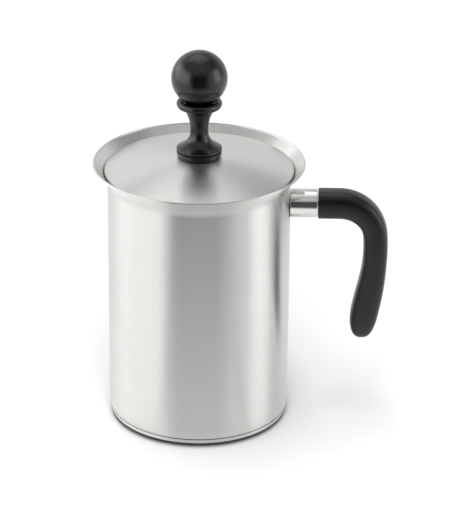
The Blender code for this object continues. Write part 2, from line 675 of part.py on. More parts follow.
def make_plunger_rod(frame):
    """The rod from the bottom nut up into the knob."""
    base = NUT_BASE + NUT_CROWN + SEAT_GAP
    top = KNOB_BASE + INSERT_LENGTH + SEAT_GAP + ROD_PAST_INSERT
    profile = solid_profile(ROD_RADIUS, top - base)
    rod = turned("plunger_rod", profile, SMALL_SIDES, bright_steel("rod_steel"))
    seat(rod, frame, base)


def make_bottom_nut(frame):
    """The closed nut that holds the screens on the rod."""
    outer = corner_radius(NUT_FLATS)
    profile = [(0.0, 0.0), (outer, 0.0), (outer, NUT_HEIGHT), (ROD_BORE, NUT_HEIGHT),
               (ROD_BORE, NUT_CROWN), (0.0, NUT_CROWN)]
    data = turned_mesh(profile, SMALL_SIDES)
    make_hexagonal(data, ROD_BORE + MERGE)
    nut = object_from("bottom_nut", data, bright_steel("bottom_nut_steel"))
    seat(nut, frame, NUT_BASE)


def make_screen_plate(name, frame, base):
    """A spoked plate that stiffens a screen."""
    cells = PLATE_SPOKES * PLATE_CELLS_PER_SPOKE
    radii = [ROD_BORE, PLATE_HUB_RADIUS, PLATE_RADIUS - PLATE_RIM_WIDTH, PLATE_RADIUS]
    data = bmesh.new()
    rings = []
    for radius in radii:
        angles = [math.tau * cell / cells for cell in range(cells)]
        rings.append([data.verts.new((radius * math.cos(a), radius * math.sin(a), 0.0)) for a in angles])
    for band in range(3):
        for cell in range(cells):
            if band == 1 and cell % PLATE_CELLS_PER_SPOKE:
                continue
            beside = (cell + 1) % cells
            data.faces.new((rings[band][cell], rings[band + 1][cell],
                            rings[band + 1][beside], rings[band][beside]))
    grown = bmesh.ops.extrude_face_region(data, geom=list(data.faces), use_keep_orig=True)
    raised = [piece for piece in grown["geom"] if isinstance(piece, bmesh.types.BMVert)]
    bmesh.ops.translate(data, verts=raised, vec=(0.0, 0.0, PLATE_THICKNESS))
    plate = object_from(name, data, bright_steel(name + "_steel"))
    seat(plate, frame, base)


def make_mesh(name, frame, base):
    """A disc of wire cloth."""
    profile = washer_profile(ROD_BORE, MESH_RADIUS, MESH_THICKNESS)
    cloth = turned(name, profile, JUG_SIDES, finish(name + "_wire", (0.62, 0.62, 0.61), 0.4, 1.0))
    seat(cloth, frame, base)


def make_edge_spring(name, frame, mesh_base):
    """The spring ring that wipes the jug's wall round a screen."""
    profile = arc((EDGE_SPRING_RADIUS, 0.0), EDGE_SPRING_WIRE_RADIUS, 0.0, math.tau, EDGE_SPRING_SIDES)[:-1]
    ring = turned(name, profile, JUG_SIDES, bright_steel(name + "_steel"))
    seat(ring, frame, mesh_base + MESH_THICKNESS / 2)


def make_rod_ring(name, frame, base, wall, length):
    """A plain ring on the rod."""
    profile = washer_profile(ROD_BORE, ROD_BORE + wall, length)
    ring = turned(name, profile, SMALL_SIDES, bright_steel(name + "_steel"))
    seat(ring, frame, base)


def make_jug():
    """Everything that stays with the jug."""
    make_jug_shell()
    make_base_core()
    make_base_cap()
    make_handle_boss()
    make_handle_rod()
    make_handle_ferrule()
    make_handle_grip()
    make_handle_screw()


def make_lid(frame):
    """Everything that lifts off with the lid."""
    make_lid_shell(frame)
    make_lid_bush(frame)
    make_lid_bush_nut(frame)


def make_plunger(frame):
    """Everything that slides with the knob."""
    make_knob(frame)
    make_knob_insert(frame)
    make_plunger_rod(frame)
    make_rod_ring("rod_collar", frame, COLLAR_BASE, COLLAR_WALL, COLLAR_LENGTH)
    make_screen_plate("upper_screen_plate", frame, UPPER_PLATE_BASE)
    make_mesh("upper_mesh", frame, UPPER_MESH_BASE)
    make_edge_spring("upper_edge_spring", frame, UPPER_MESH_BASE)
    make_rod_ring("screen_spacer", frame, SPACER_BASE, SPACER_WALL, SPACER_LENGTH)
    make_mesh("lower_mesh", frame, LOWER_MESH_BASE)
    make_edge_spring("lower_edge_spring", frame, LOWER_MESH_BASE)
    make_screen_plate("lower_screen_plate", frame, LOWER_PLATE_BASE)
    make_bottom_nut(frame)


clear_scene()
make_jug()
lid_frame = place_frame("lid_frame", LID_EDGE)
make_lid(lid_frame)
make_plunger(place_frame("plunger_frame", KNOB_BASE, lid_frame))
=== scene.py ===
"""The looks of a manual milk frother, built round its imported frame.

A flared steel jug on a capped base, with a hooked black handle, holds a domed lid. A plunger
with a black ball knob slides through the lid and carries two wire screens. Lengths are metres.
"""
import logging
import math
from abc import ABC, abstractmethod
from collections.abc import Mapping, Sequence
from dataclasses import dataclass, field, replace
from enum import Enum
from typing import ClassVar

import bmesh
import bpy
from mathutils import Matrix, Vector


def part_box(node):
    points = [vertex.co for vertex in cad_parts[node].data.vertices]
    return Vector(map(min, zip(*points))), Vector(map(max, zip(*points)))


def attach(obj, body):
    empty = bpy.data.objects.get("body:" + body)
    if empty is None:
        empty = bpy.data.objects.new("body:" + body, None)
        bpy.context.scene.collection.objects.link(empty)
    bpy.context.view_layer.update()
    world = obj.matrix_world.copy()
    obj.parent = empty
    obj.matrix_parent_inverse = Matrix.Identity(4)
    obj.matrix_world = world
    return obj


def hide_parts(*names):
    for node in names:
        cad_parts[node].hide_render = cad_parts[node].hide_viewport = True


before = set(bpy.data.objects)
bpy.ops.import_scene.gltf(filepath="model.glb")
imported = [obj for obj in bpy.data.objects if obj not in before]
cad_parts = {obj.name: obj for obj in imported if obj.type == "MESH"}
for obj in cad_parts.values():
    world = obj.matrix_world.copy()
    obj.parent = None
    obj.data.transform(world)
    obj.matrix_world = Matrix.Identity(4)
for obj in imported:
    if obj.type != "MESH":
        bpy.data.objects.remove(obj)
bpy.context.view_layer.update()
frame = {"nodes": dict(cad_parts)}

LOG = logging.getLogger("frother")
MM = 0.001
MICRON = 0.000001
MERGE = MICRON
SMOOTH_ANGLE = math.radians(32.0)
HOLDS_IN_LONG_RUN = 4
QUARTER = math.pi / 2
FLAT_TURN = math.pi / 3
UPWARD = Vector((0.0, 0.0, 1.0))
WHITE = (1.0, 1.0, 1.0, 1.0)

Point = tuple[float, float]
Corner = tuple[float, float, float]
Colour = tuple[float, float, float]
Ring = list[Vector]
Shape = bmesh.types.BMesh
Piece = bpy.types.Object
Socket = bpy.types.NodeSocket
Feed = Socket | float | Sequence[float]


class Body(Enum):
    """The moving bodies of the frame that a piece can ride on."""

    JUG = "jug"
    LID = "lid"
    PLUNGER = "plunger"


class Slot(Enum):
    """The record's material slots."""

    SATIN_STEEL = "satin_steel"
    BRIGHT_STEEL = "bright_steel"
    WIRE_CLOTH = "wire_cloth"
    ALUMINIUM = "aluminium"
    BRASS = "brass"
    BLACK_PLASTIC = "black_plastic"


class Lay(Enum):
    """How a turned piece lies: upright on the jug's axis or along the handle."""

    UPRIGHT = 0.0
    ALONG_HANDLE = QUARTER


class Axis(Enum):
    """The directions along which a node's middle is taken."""

    ALONG_HANDLE = 0
    UP = 2


def arc(centre: Point, radius: float, start: float, end: float, steps: int) -> list[Point]:
    """Points on a circular arc in the (radius, height) plane.

    Args:
        centre: The arc's centre.
        radius: The arc's radius.
        start: The first point's angle, in radians.
        end: The last point's angle.
        steps: The number of steps between them.

    Returns:
        The points, both ends included.
    """
    turns = [start + (end - start) * step / steps for step in range(steps + 1)]
    return [(centre[0] + radius * math.cos(t), centre[1] + radius * math.sin(t)) for t in turns]


def even_turns(count: int) -> list[float]:
    """Angles spread evenly all the way round."""
    return [math.tau * step / count for step in range(count)]


def quarter_turns(steps: int) -> list[float]:
    """Angles from 0 to a right angle, both ends included."""
    return [QUARTER * step / steps for step in range(steps + 1)]


def eased(share: float) -> float:
    """Ease from 0 to 1, held at the ends."""
    return 0.5 - 0.5 * math.cos(math.pi * min(max(share, 0.0), 1.0))


def heading(azimuth: float, elevation: float) -> Vector:
    """The direction of a place in the studio, seen from the object.

    Args:
        azimuth: Degrees to the right of the camera's side.
        elevation: Degrees above the level.

    Returns:
        The direction, of length 1.
    """
    turn = math.radians(azimuth)
    rise = math.radians(elevation)
    level = math.cos(rise)
    return Vector((math.sin(turn) * level, -math.cos(turn) * level, math.sin(rise)))


def filleted(corners: Sequence[Corner], steps: int) -> list[Point]:
    """Round the corners of an outline.

    Args:
        corners: Each corner as (radius, height, fillet radius), with 0 for a sharp one.
        steps: The steps in each fillet.

    Returns:
        The rounded outline.
    """
    points: list[Point] = []
    for index, (across, height, round_off) in enumerate(corners):
        here = Vector((across, height))
        if round_off <= 0.0:
            points.append((across, height))
            continue
        back = (Vector(corners[index - 1][:2]) - here).normalized()
        onward = (Vector(corners[(index + 1) % len(corners)][:2]) - here).normalized()
        half = back.angle(onward) / 2
        centre = here + (back + onward).normalized() * (round_off / math.sin(half))
        first = here + back * (round_off / math.tan(half)) - centre
        last = here + onward * (round_off / math.tan(half)) - centre
        start = math.atan2(first.y, first.x)
        sweep = (math.atan2(last.y, last.x) - start + math.pi) % math.tau - math.pi
        points += arc((centre.x, centre.y), round_off, start, start + sweep, steps)
    return points


def held(profile: Sequence[Point], hold: float) -> list[Point]:
    """Add points close to the ends of an outline's long runs, which keep flat faces flat.

    Args:
        profile: The outline.
        hold: How far from a run's ends the points lie.

    Returns:
        The outline with the added points.
    """
    points: list[Point] = []
    for here, there in zip(profile, profile[1:]):
        points.append(here)
        run = math.dist(here, there)
        if run > HOLDS_IN_LONG_RUN * hold:
            for share in (hold / run, 1 - hold / run):
                points.append((here[0] + (there[0] - here[0]) * share,
                               here[1] + (there[1] - here[1]) * share))
    points.append(profile[-1])
    return points


def spun(profile: Sequence[Point], sides: int) -> Shape:
    """Spin an outline of (radius, height) points round Z.

    Args:
        profile: The outline, open where it starts and ends on the axis and closed otherwise.
        sides: The number of sides all round.

    Returns:
        The spun shape.
    """
    data = bmesh.new()
    corners = [data.verts.new((radius, 0.0, height)) for radius, height in profile]
    edges = [data.edges.new(pair) for pair in zip(corners, corners[1:])]
    if profile[0][0] > 0.0:
        edges.append(data.edges.new((corners[-1], corners[0])))
    bmesh.ops.spin(data, geom=corners + edges, cent=(0, 0, 0), axis=UPWARD, angle=math.tau,
                   steps=sides, use_merge=True)
    bmesh.ops.remove_doubles(data, verts=data.verts, dist=MERGE)
    return data


def lofted(data: Shape, rings: Sequence[Ring], looped: bool = False) -> None:
    """Skin a row of rings of points, and close its ends.

    Args:
        data: The shape to add to.
        rings: The rings, all with as many points.
        looped: Whether the last ring joins the first, with no ends to close.
    """
    rows = [[data.verts.new(point) for point in ring] for ring in rings]
    pairs = list(zip(rows, rows[1:]))
    if looped:
        pairs.append((rows[-1], rows[0]))
    for row, after in pairs:
        for side, corner in enumerate(row):
            beside = (side + 1) % len(row)
            data.faces.new((corner, row[beside], after[beside], after[side]))
    if not looped:
        data.faces.new(rows[0][::-1])
        data.faces.new(rows[-1])


def tube_rings(path: Sequence[Vector], outward: Sequence[Vector], radius: float, sides: int,
               looped: bool = False) -> list[Ring]:
    """Rings of a round wire along a path.

    Args:
        path: The wire's middle line.
        outward: A direction across the wire at each point of the path.
        radius: The wire's radius.
        sides: The wire's sides.
        looped: Whether the path closes on itself.

    Returns:
        One ring of points for each point of the path.
    """
    rings: list[Ring] = []
    turns = even_turns(sides)
    last = len(path) - 1
    for index, (place, across) in enumerate(zip(path, outward)):
        before = path[index - 1] if looped or index else place
        after = path[(index + 1) % len(path)] if looped or index < last else place
        along = (after - before).normalized()
        first = (across - along * across.dot(along)).normalized()
        second = along.cross(first)
        rings.append([place + (first * math.cos(t) + second * math.sin(t)) * radius for t in turns])
    return rings


def meshed(name: str, data: Shape) -> bpy.types.Mesh:
    """Turn a shape into a mesh.

    Args:
        name: The mesh's name.
        data: The shape, which is used up.

    Returns:
        The mesh.
    """
    mesh = bpy.data.meshes.new(name)
    data.to_mesh(mesh)
    data.free()
    return mesh


def stood(name: str, data: bpy.types.ID) -> Piece:
    """Stand something in the scene.

    Args:
        name: Its name.
        data: Its mesh, lamp or lens.

    Returns:
        The object.
    """
    piece = bpy.data.objects.new(name, data)
    bpy.context.scene.collection.objects.link(piece)
    return piece


def low(node: str) -> Vector:
    """The lowest corner of a node of the frame."""
    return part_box(node)[0]


def high(node: str) -> Vector:
    """The highest corner of a node of the frame."""
    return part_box(node)[1]


def span(node: str) -> Vector:
    """The size of a node of the frame along each axis."""
    return high(node) - low(node)


def middle(node: str, axis: Axis) -> float:
    """The middle of a node of the frame along one axis."""
    return (low(node)[axis.value] + high(node)[axis.value]) / 2


def turned(node: str) -> tuple[float, float, float]:
    """The radius, the bottom and the top of a node that is turned round the jug's axis."""
    return high(node).x, low(node).z, high(node).z


class Shader:
    """Adds and links the nodes of one shader tree."""

    def __init__(self, tree: bpy.types.NodeTree) -> None:
        """Take over a tree and empty it."""
        self.tree = tree
        tree.nodes.clear()

    def add(self, kind: str, feeds: Mapping[str | int, Feed], **settings: str) -> bpy.types.Node:
        """Add a node.

        Args:
            kind: The node's type.
            feeds: What goes into its sockets, each another node's output or a constant.
            settings: Values of the node's own properties.

        Returns:
            The node.
        """
        node = self.tree.nodes.new(kind)
        for name, value in settings.items():
            setattr(node, name, value)
        for name, value in feeds.items():
            if isinstance(value, Socket):
                self.tree.links.new(value, node.inputs[name])
            else:
                node.inputs[name].default_value = value
        return node

    def maths(self, operation: str, *values: Socket | float) -> Socket:
        """The result of one sum, with its values in order."""
        return self.add("ShaderNodeMath", dict(enumerate(values)), operation=operation).outputs[0]

    def between(self, value: Socket, lowest: float, highest: float) -> Socket:
        """Stretch a value that runs from 0 to 1 so that it runs from lowest to highest."""
        return self.maths("ADD", self.maths("MULTIPLY", value, highest - lowest), lowest)

    def blend(self, first: Socket, second: Socket, share: float) -> Socket:
        """Mix two values, with a share of the first and the rest of the second."""
        return self.maths("MULTIPLY_ADD", first, share, self.maths("MULTIPLY", second, 1 - share))

    def position(self) -> Socket:
        """The place on the piece itself."""
        return self.add("ShaderNodeTexCoord", {}).outputs["Object"]

    def noise(self, lumps: float, detail: float) -> Socket:
        """Even noise from 0 to 1 on the piece, with its lumps per metre and its finer layers."""
        feeds = {"Vector": self.position(), "Scale": lumps, "Detail": detail}
        return self.add("ShaderNodeTexNoise", feeds).outputs["Fac"]

    def lines_round(self, lines: float, strokes: float, detail: float) -> Socket:
        """Fine lines that run round the piece's own Z axis, on walls and faces alike.

        Args:
            lines: Lines per metre up the wall or out along a face.
            strokes: How quickly the lines change on their way round.
            detail: Layers of finer lines.

        Returns:
            A value from 0 to 1.
        """
        across, along, up = self.add("ShaderNodeSeparateXYZ", {0: self.position()}).outputs
        square = self.maths("ADD", self.maths("MULTIPLY", across, across),
                            self.maths("MULTIPLY", along, along))
        radius = self.maths("MAXIMUM", self.maths("SQRT", square), MERGE)
        place = [self.maths("MULTIPLY", self.maths("DIVIDE", part, radius), strokes)
                 for part in (across, along)]
        place.append(self.maths("MULTIPLY", up, lines))
        vector = self.add("ShaderNodeCombineXYZ", dict(enumerate(place))).outputs[0]
        feeds = {"Vector": vector, "W": self.maths("MULTIPLY", radius, lines), "Scale": 1.0,
                 "Detail": detail}
        return self.add("ShaderNodeTexNoise", feeds, noise_dimensions="4D").outputs["Fac"]

    def bump(self, height: Socket, depth: float) -> Socket:
        """The surface's direction, bumped by a height from 0 to 1 that stands for a depth."""
        feeds = {"Strength": 1.0, "Distance": depth, "Height": height}
        return self.add("ShaderNodeBump", feeds).outputs[0]

    def shade(self, value: Socket, dark: Colour, light: Colour) -> Socket:
        """Blend from one colour to another.

        Args:
            value: The share of the second colour, from 0 to 1.
            dark: The first colour.
            light: The second colour.

        Returns:
            The blended colour.
        """
        ramp = self.add("ShaderNodeValToRGB", {0: value})
        for element, colour in zip(ramp.color_ramp.elements, (dark, light)):
            element.color = (*colour, 1.0)
        return ramp.outputs[0]

    def surface(self, shader: bpy.types.Node) -> None:
        """End a material's tree in a shader."""
        self.add("ShaderNodeOutputMaterial", {"Surface": shader.outputs[0]})


def new_material(name: str) -> tuple[bpy.types.Material, Shader]:
    """Make an empty material.

    Args:
        name: The material's name.

    Returns:
        The material and the shader tree to fill.
    """
    material = bpy.data.materials.new(name)
    material.use_nodes = True
    return material, Shader(material.node_tree)


@dataclass(frozen=True)
class Finish(ABC):
    """What every finish has: a name, the record's slot, two tones and a roughness."""

    name: str
    slot: Slot
    dark: Colour
    light: Colour
    roughness: float
    roughness_spread: float

    @abstractmethod
    def fill(self, shader: Shader) -> None:
        """Fill the shader tree of this finish's material."""

    def material(self) -> bpy.types.Material:
        """Make this finish's material.

        Returns:
            The material.
        """
        material, shader = new_material(self.name)
        self.fill(shader)
        return material

    def end(self, shader: Shader, tone: Socket, rough: Socket, feeds: Mapping[str, Feed]) -> None:
        """End a shader tree in this finish's tones and roughness.

        Args:
            shader: The shader tree.
            tone: Where the colour lies from dark to light, from 0 to 1.
            rough: Where the roughness lies in its spread, from 0 to 1.
            feeds: What goes into the shader's other sockets.
        """
        smoothest = self.roughness - self.roughness_spread
        roughest = self.roughness + self.roughness_spread
        shader.surface(shader.add("ShaderNodeBsdfPrincipled", {
            "Base Color": shader.shade(tone, self.dark, self.light),
            "Roughness": shader.between(rough, smoothest, roughest), **feeds}))


@dataclass(frozen=True)
class Metal(Finish):
    """Metal with the fine lines that brushing or turning leaves round its axis."""

    anisotropy: float
    lines: float
    line_depth: float
    line_strokes: float = 2.5
    line_detail: float = 3.0
    line_share: float = 0.5
    lines_per_band: float = 9.0
    band_strokes: float = 1.2
    band_detail: float = 2.0
    band_share: float = 0.55
    smudges: float = 28.0
    smudge_detail: float = 2.0
    gloss_turn: float = 0.25

    def fill(self, shader: Shader) -> None:
        """Fill the metal's shader tree.

        Args:
            shader: The shader tree.
        """
        fine = shader.lines_round(self.lines, self.line_strokes, self.line_detail)
        bands = shader.lines_round(self.lines / self.lines_per_band, self.band_strokes,
                                   self.band_detail)
        wear = shader.blend(bands, shader.noise(self.smudges, self.smudge_detail), self.band_share)
        tangent = shader.add("ShaderNodeTangent", {}, direction_type="RADIAL", axis="Z")
        self.end(shader, wear, shader.blend(fine, wear, self.line_share), {
            "Metallic": 1.0, "Anisotropic": self.anisotropy,
            "Anisotropic Rotation": self.gloss_turn, "Tangent": tangent.outputs[0],
            "Normal": shader.bump(fine, self.line_depth)})


@dataclass(frozen=True)
class Moulding(Finish):
    """Satin black plastic with the fine grain of its mould."""

    specular: float
    grain_depth: float
    grain: float = 2400.0
    grain_detail: float = 3.0
    grain_share: float = 0.6
    clouds: float = 55.0
    cloud_detail: float = 2.0

    def fill(self, shader: Shader) -> None:
        """Fill the plastic's shader tree.

        Args:
            shader: The shader tree.
        """
        grain = shader.noise(self.grain, self.grain_detail)
        cloud = shader.noise(self.clouds, self.cloud_detail)
        self.end(shader, cloud, shader.blend(grain, cloud, self.grain_share), {
            "Specular IOR Level": self.specular, "Normal": shader.bump(grain, self.grain_depth)})


BRUSHED_STEEL = Metal(
    "brushed_steel", Slot.SATIN_STEEL, dark=(0.66, 0.65, 0.635), light=(0.76, 0.75, 0.735),
    roughness=0.36, roughness_spread=0.04, anisotropy=1.0, lines=5200.0, line_depth=4.0 * MICRON)
LID_STEEL = replace(
    BRUSHED_STEEL, name="turned_steel", roughness=0.31, anisotropy=0.86, line_depth=1.5 * MICRON)
RIM_STEEL = replace(
    BRUSHED_STEEL, name="smooth_steel", roughness=0.25, roughness_spread=0.03, anisotropy=0.70,
    line_depth=1.0 * MICRON)
# Near-black steel under the base's raised edge is painted shade that darkens its contact with the
# floor.
PAINTED_SHADE_STEEL = replace(
    BRUSHED_STEEL, name="painted_shade_steel", dark=(0.07, 0.068, 0.066), light=(0.12, 0.117, 0.113),
    roughness=0.50, roughness_spread=0.06, anisotropy=0.40, line_depth=3.0 * MICRON)
POLISHED_STEEL = Metal(
    "polished_steel", Slot.BRIGHT_STEEL, dark=(0.74, 0.73, 0.715), light=(0.80, 0.79, 0.775),
    roughness=0.13, roughness_spread=0.04, anisotropy=0.3, lines=3800.0, line_depth=1.5 * MICRON)
CLOTH_WIRE = Metal(
    "cloth_wire", Slot.WIRE_CLOTH, dark=(0.56, 0.56, 0.55), light=(0.68, 0.68, 0.67),
    roughness=0.32, roughness_spread=0.06, anisotropy=0.0, lines=2600.0, line_depth=2.0 * MICRON)
ROLLED_ALUMINIUM = Metal(
    "rolled_aluminium", Slot.ALUMINIUM, dark=(0.60, 0.61, 0.62), light=(0.70, 0.71, 0.72),
    roughness=0.45, roughness_spread=0.06, anisotropy=0.4, lines=3000.0, line_depth=4.0 * MICRON)
TURNED_BRASS = Metal(
    "turned_brass", Slot.BRASS, dark=(0.66, 0.47, 0.20), light=(0.78, 0.59, 0.28),
    roughness=0.30, roughness_spread=0.06, anisotropy=0.5, lines=4200.0, line_depth=4.0 * MICRON)
BLACK_PLASTIC = Moulding(
    "satin_black_plastic", Slot.BLACK_PLASTIC, dark=(0.002, 0.002, 0.002),
    light=(0.004, 0.004, 0.0038), roughness=0.32, roughness_spread=0.04, specular=0.46,
    grain_depth=5.0 * MICRON)
KNOB_PLASTIC = Moulding(
    "smooth_black_plastic", Slot.BLACK_PLASTIC, dark=(0.001, 0.001, 0.001),
    light=(0.002, 0.002, 0.0019), roughness=0.24, roughness_spread=0.03, specular=0.60,
    grain_depth=4.0 * MICRON)


class Wardrobe:
    """Makes each finish's material once and dresses the pieces."""

    def __init__(self) -> None:
        """Start with no materials made."""
        self.made: dict[str, bpy.types.Material] = {}

    def of(self, finish: Finish) -> bpy.types.Material:
        """The material of a finish.

        Args:
            finish: The finish.

        Returns:
            Its material, which is made when first asked for.
        """
        if finish.name not in self.made:
            self.made[finish.name] = finish.material()
        return self.made[finish.name]

    def dress(self, piece: Piece, finish: Finish) -> None:
        """Give a piece its finish.

        Args:
            piece: The piece, or a node of the frame that keeps its own shape.
            finish: The finish.
        """
        piece.data.materials.clear()
        piece.data.materials.append(self.of(finish))


@dataclass
class Assembly(ABC):
    """A group of pieces that ride on one body of the frame, with the finish of each."""

    finishes: ClassVar[Mapping[str, Finish]]
    body: Body
    pieces: dict[str, Piece] = field(default_factory=dict)

    @abstractmethod
    def build(self) -> None:
        """Make the meshes of this assembly's pieces."""

    def settle(self, name: str, node: str, shape: Shape | bpy.types.Mesh, lay: Lay = Lay.UPRIGHT,
               height: float = 0.0) -> Piece:
        """Stand a piece in the scene in place of a node of the frame.

        Args:
            name: The piece's name.
            node: The node that it stands for.
            shape: Its shape, which is used up, or a mesh that it shares with another piece.
            lay: How the piece lies.
            height: The height of its own origin on the jug's axis.

        Returns:
            The piece.
        """
        if isinstance(shape, Shape):
            bmesh.ops.recalc_face_normals(shape, faces=shape.faces)
            shape = meshed(name, shape)
            shape.shade_smooth()
            shape.set_sharp_from_angle(angle=SMOOTH_ANGLE)
        piece = stood(name, shape)
        piece.rotation_euler = (0.0, lay.value, 0.0)
        piece.location = (0.0, 0.0, height)
        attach(piece, self.body.value)
        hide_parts(node)
        self.pieces[name] = piece
        return piece

    @property
    def wearers(self) -> dict[str, Piece]:
        """The pieces, and the nodes that keep their own shape, by name."""
        every = {**frame["nodes"], **self.pieces}
        return {name: every[name] for name in self.finishes}

    def dress(self, wardrobe: Wardrobe) -> None:
        """Give each piece its finish."""
        for name, piece in self.wearers.items():
            wardrobe.dress(piece, self.finishes[name])

    def report(self) -> None:
        """Say what each piece rides on and wears, and how many faces it has."""
        for name, piece in self.wearers.items():
            worn = ", ".join(material.name for material in piece.data.materials)
            LOG.info("%s rides on %s in %s, %d faces", name, self.body.value, worn,
                     len(piece.data.polygons))


@dataclass
class Jug(Assembly):
    """The drawn jug with its flared, rolled rim, and the capped base under it."""

    finishes: ClassVar[Mapping[str, Finish]] = {
        "jug": BRUSHED_STEEL, "base_dish": BRUSHED_STEEL, "base_core": ROLLED_ALUMINIUM}
    body: Body = Body.JUG
    sides: int = 192
    sheet: float = 0.8 * MM
    body_radius: float = 44.0 * MM
    foot_tuck: float = 0.6 * MM
    foot_height: float = 4.2 * MM
    foot_round: float = 0.25 * MM
    foot_steps: int = 3
    tuck_steps: int = 10
    tuck_joint: int = 3
    floor_corner: float = 2.0 * MM
    floor_steps: int = 8
    bead: float = 0.5 * MM
    bead_steps: int = 28
    flare_bend: float = 8.0 * MM
    flare_steps: int = 20
    flare_angle: float = math.radians(45.0)
    cap_round: float = 1.55 * MM
    cap_lift: float = 1.8 * MM
    cap_slope: float = 3.4 * MM
    cap_steps: int = 14
    # How steeply a face of the dish must point down to get the painted shade.
    shade_turn: float = 0.5
    hold: float = 0.5 * MM
    underside: float = field(default_factory=lambda: low("jug_shell").z)
    rim_reach: float = field(default_factory=lambda: high("jug_shell").x)
    cap_height: float = field(default_factory=lambda: high("base_cap").z)
    cap_radius: float = field(default_factory=lambda: high("base_cap").x)
    rim_height: float = 131.75 * MM

    @property
    def wall_middle(self) -> float:
        """The radius of the middle of the wall's sheet."""
        return self.body_radius - self.sheet / 2

    @property
    def rim_radius(self) -> float:
        """The radius of the middle of the rim's bead."""
        return self.rim_reach - self.bead

    @property
    def flare_start(self) -> float:
        """The height where the wall starts to flare.

        Returns:
            The rim's height less that of the flare's bend and of its straight part.
        """
        bend_reach = self.flare_bend * (1 - math.cos(self.flare_angle))
        straight = (self.rim_radius - self.wall_middle - bend_reach) / math.tan(self.flare_angle)
        return self.rim_height - self.flare_bend * math.sin(self.flare_angle) - straight

    @property
    def cap_flat(self) -> float:
        """The radius where the dish's flat underside ends."""
        return self.cap_radius - self.cap_round - self.cap_slope

    def flare(self, offset: float) -> list[Point]:
        """Points up the flare's bend, at an offset to the inside of the sheet's middle."""
        centre = (self.wall_middle + self.flare_bend, self.flare_start)
        return arc(centre, self.flare_bend + offset, math.pi, math.pi - self.flare_angle,
                   self.flare_steps)

    def shell_profile(self) -> list[Point]:
        """The jug's outline.

        Returns:
            The outline, from the underside's middle round the rim to the floor's middle.
        """
        tuck_radius = (self.foot_height ** 2 + self.foot_tuck ** 2) / (2 * self.foot_tuck)
        tuck_turn = math.asin(self.foot_height / tuck_radius)
        tuck_centre = (self.body_radius - tuck_radius, self.underside + self.foot_height)
        tuck = arc(tuck_centre, tuck_radius, -tuck_turn, 0.0, self.tuck_steps)
        foot = filleted([(0.0, self.underside, 0.0), (*tuck[0], self.foot_round),
                         (*tuck[self.tuck_joint], 0.0)], self.foot_steps)
        join = math.asin(self.sheet / 2 / self.bead)
        back = 1.5 * math.pi - self.flare_angle
        bead = arc((self.rim_radius, self.rim_height), self.bead, back + join,
                   back + math.tau - join, self.bead_steps)
        bore = self.body_radius - self.sheet
        floor = self.underside + self.sheet
        corner = (bore - self.floor_corner, floor + self.floor_corner)
        points = foot[:-1] + tuck[self.tuck_joint:] + self.flare(-self.sheet / 2) + bead
        points += self.flare(self.sheet / 2)[::-1]
        points += arc(corner, self.floor_corner, 0.0, -QUARTER, self.floor_steps)
        points.append((0.0, floor))
        return held(points, self.hold)

    def cap_side(self, inset: float) -> list[Point]:
        """One face of the dish's rounded side.

        Args:
            inset: How far the face lies inside the outer one.

        Returns:
            The points, from the bottom up.
        """
        foot = self.cap_radius - self.cap_round - inset
        lift = self.cap_lift + inset
        rise = self.cap_height - lift
        return [(foot + self.cap_round * math.sin(t), lift + rise * (1 - math.cos(t)))
                for t in quarter_turns(self.cap_steps)]

    def cap_profile(self) -> list[Point]:
        """The outline of the steel dish that closes the base."""
        sides = self.cap_side(0.0) + self.cap_side(self.sheet)[::-1]
        return held([(0.0, 0.0), (self.cap_flat, 0.0), *sides, (self.cap_flat, self.sheet),
                     (0.0, self.sheet)], self.hold)

    def build(self) -> None:
        """Make the jug's and the dish's meshes."""
        self.settle("jug", "jug_shell", spun(self.shell_profile(), self.sides))
        self.settle("base_dish", "base_cap", spun(self.cap_profile(), self.sides))

    def on_flare(self, face: bpy.types.MeshPolygon) -> bool:
        """Whether a face of the jug is on the flare's inside, where the lid lies."""
        outward = face.normal.x * face.center.x + face.normal.y * face.center.y
        return face.center.z > self.flare_start and outward < 0.0

    def under_edge(self, face: bpy.types.MeshPolygon) -> bool:
        """Whether a face of the dish is under its raised edge, which gets painted shade."""
        reach = math.hypot(face.center.x, face.center.y)
        return reach > self.cap_flat and face.normal.z < -self.shade_turn

    def dress(self, wardrobe: Wardrobe) -> None:
        """Give the pieces their finishes: a smoother flare, and painted shade under the base's
        edge.

        Args:
            wardrobe: The materials.
        """
        super().dress(wardrobe)
        # The flare gets smoother steel; the faces under the base's raised edge get painted shade.
        patches = (("jug", RIM_STEEL, self.on_flare), ("base_dish", PAINTED_SHADE_STEEL, self.under_edge))
        for name, finish, chosen in patches:
            mesh = self.pieces[name].data
            mesh.materials.append(wardrobe.of(finish))
            for face in filter(chosen, mesh.polygons):
                face.material_index = 1


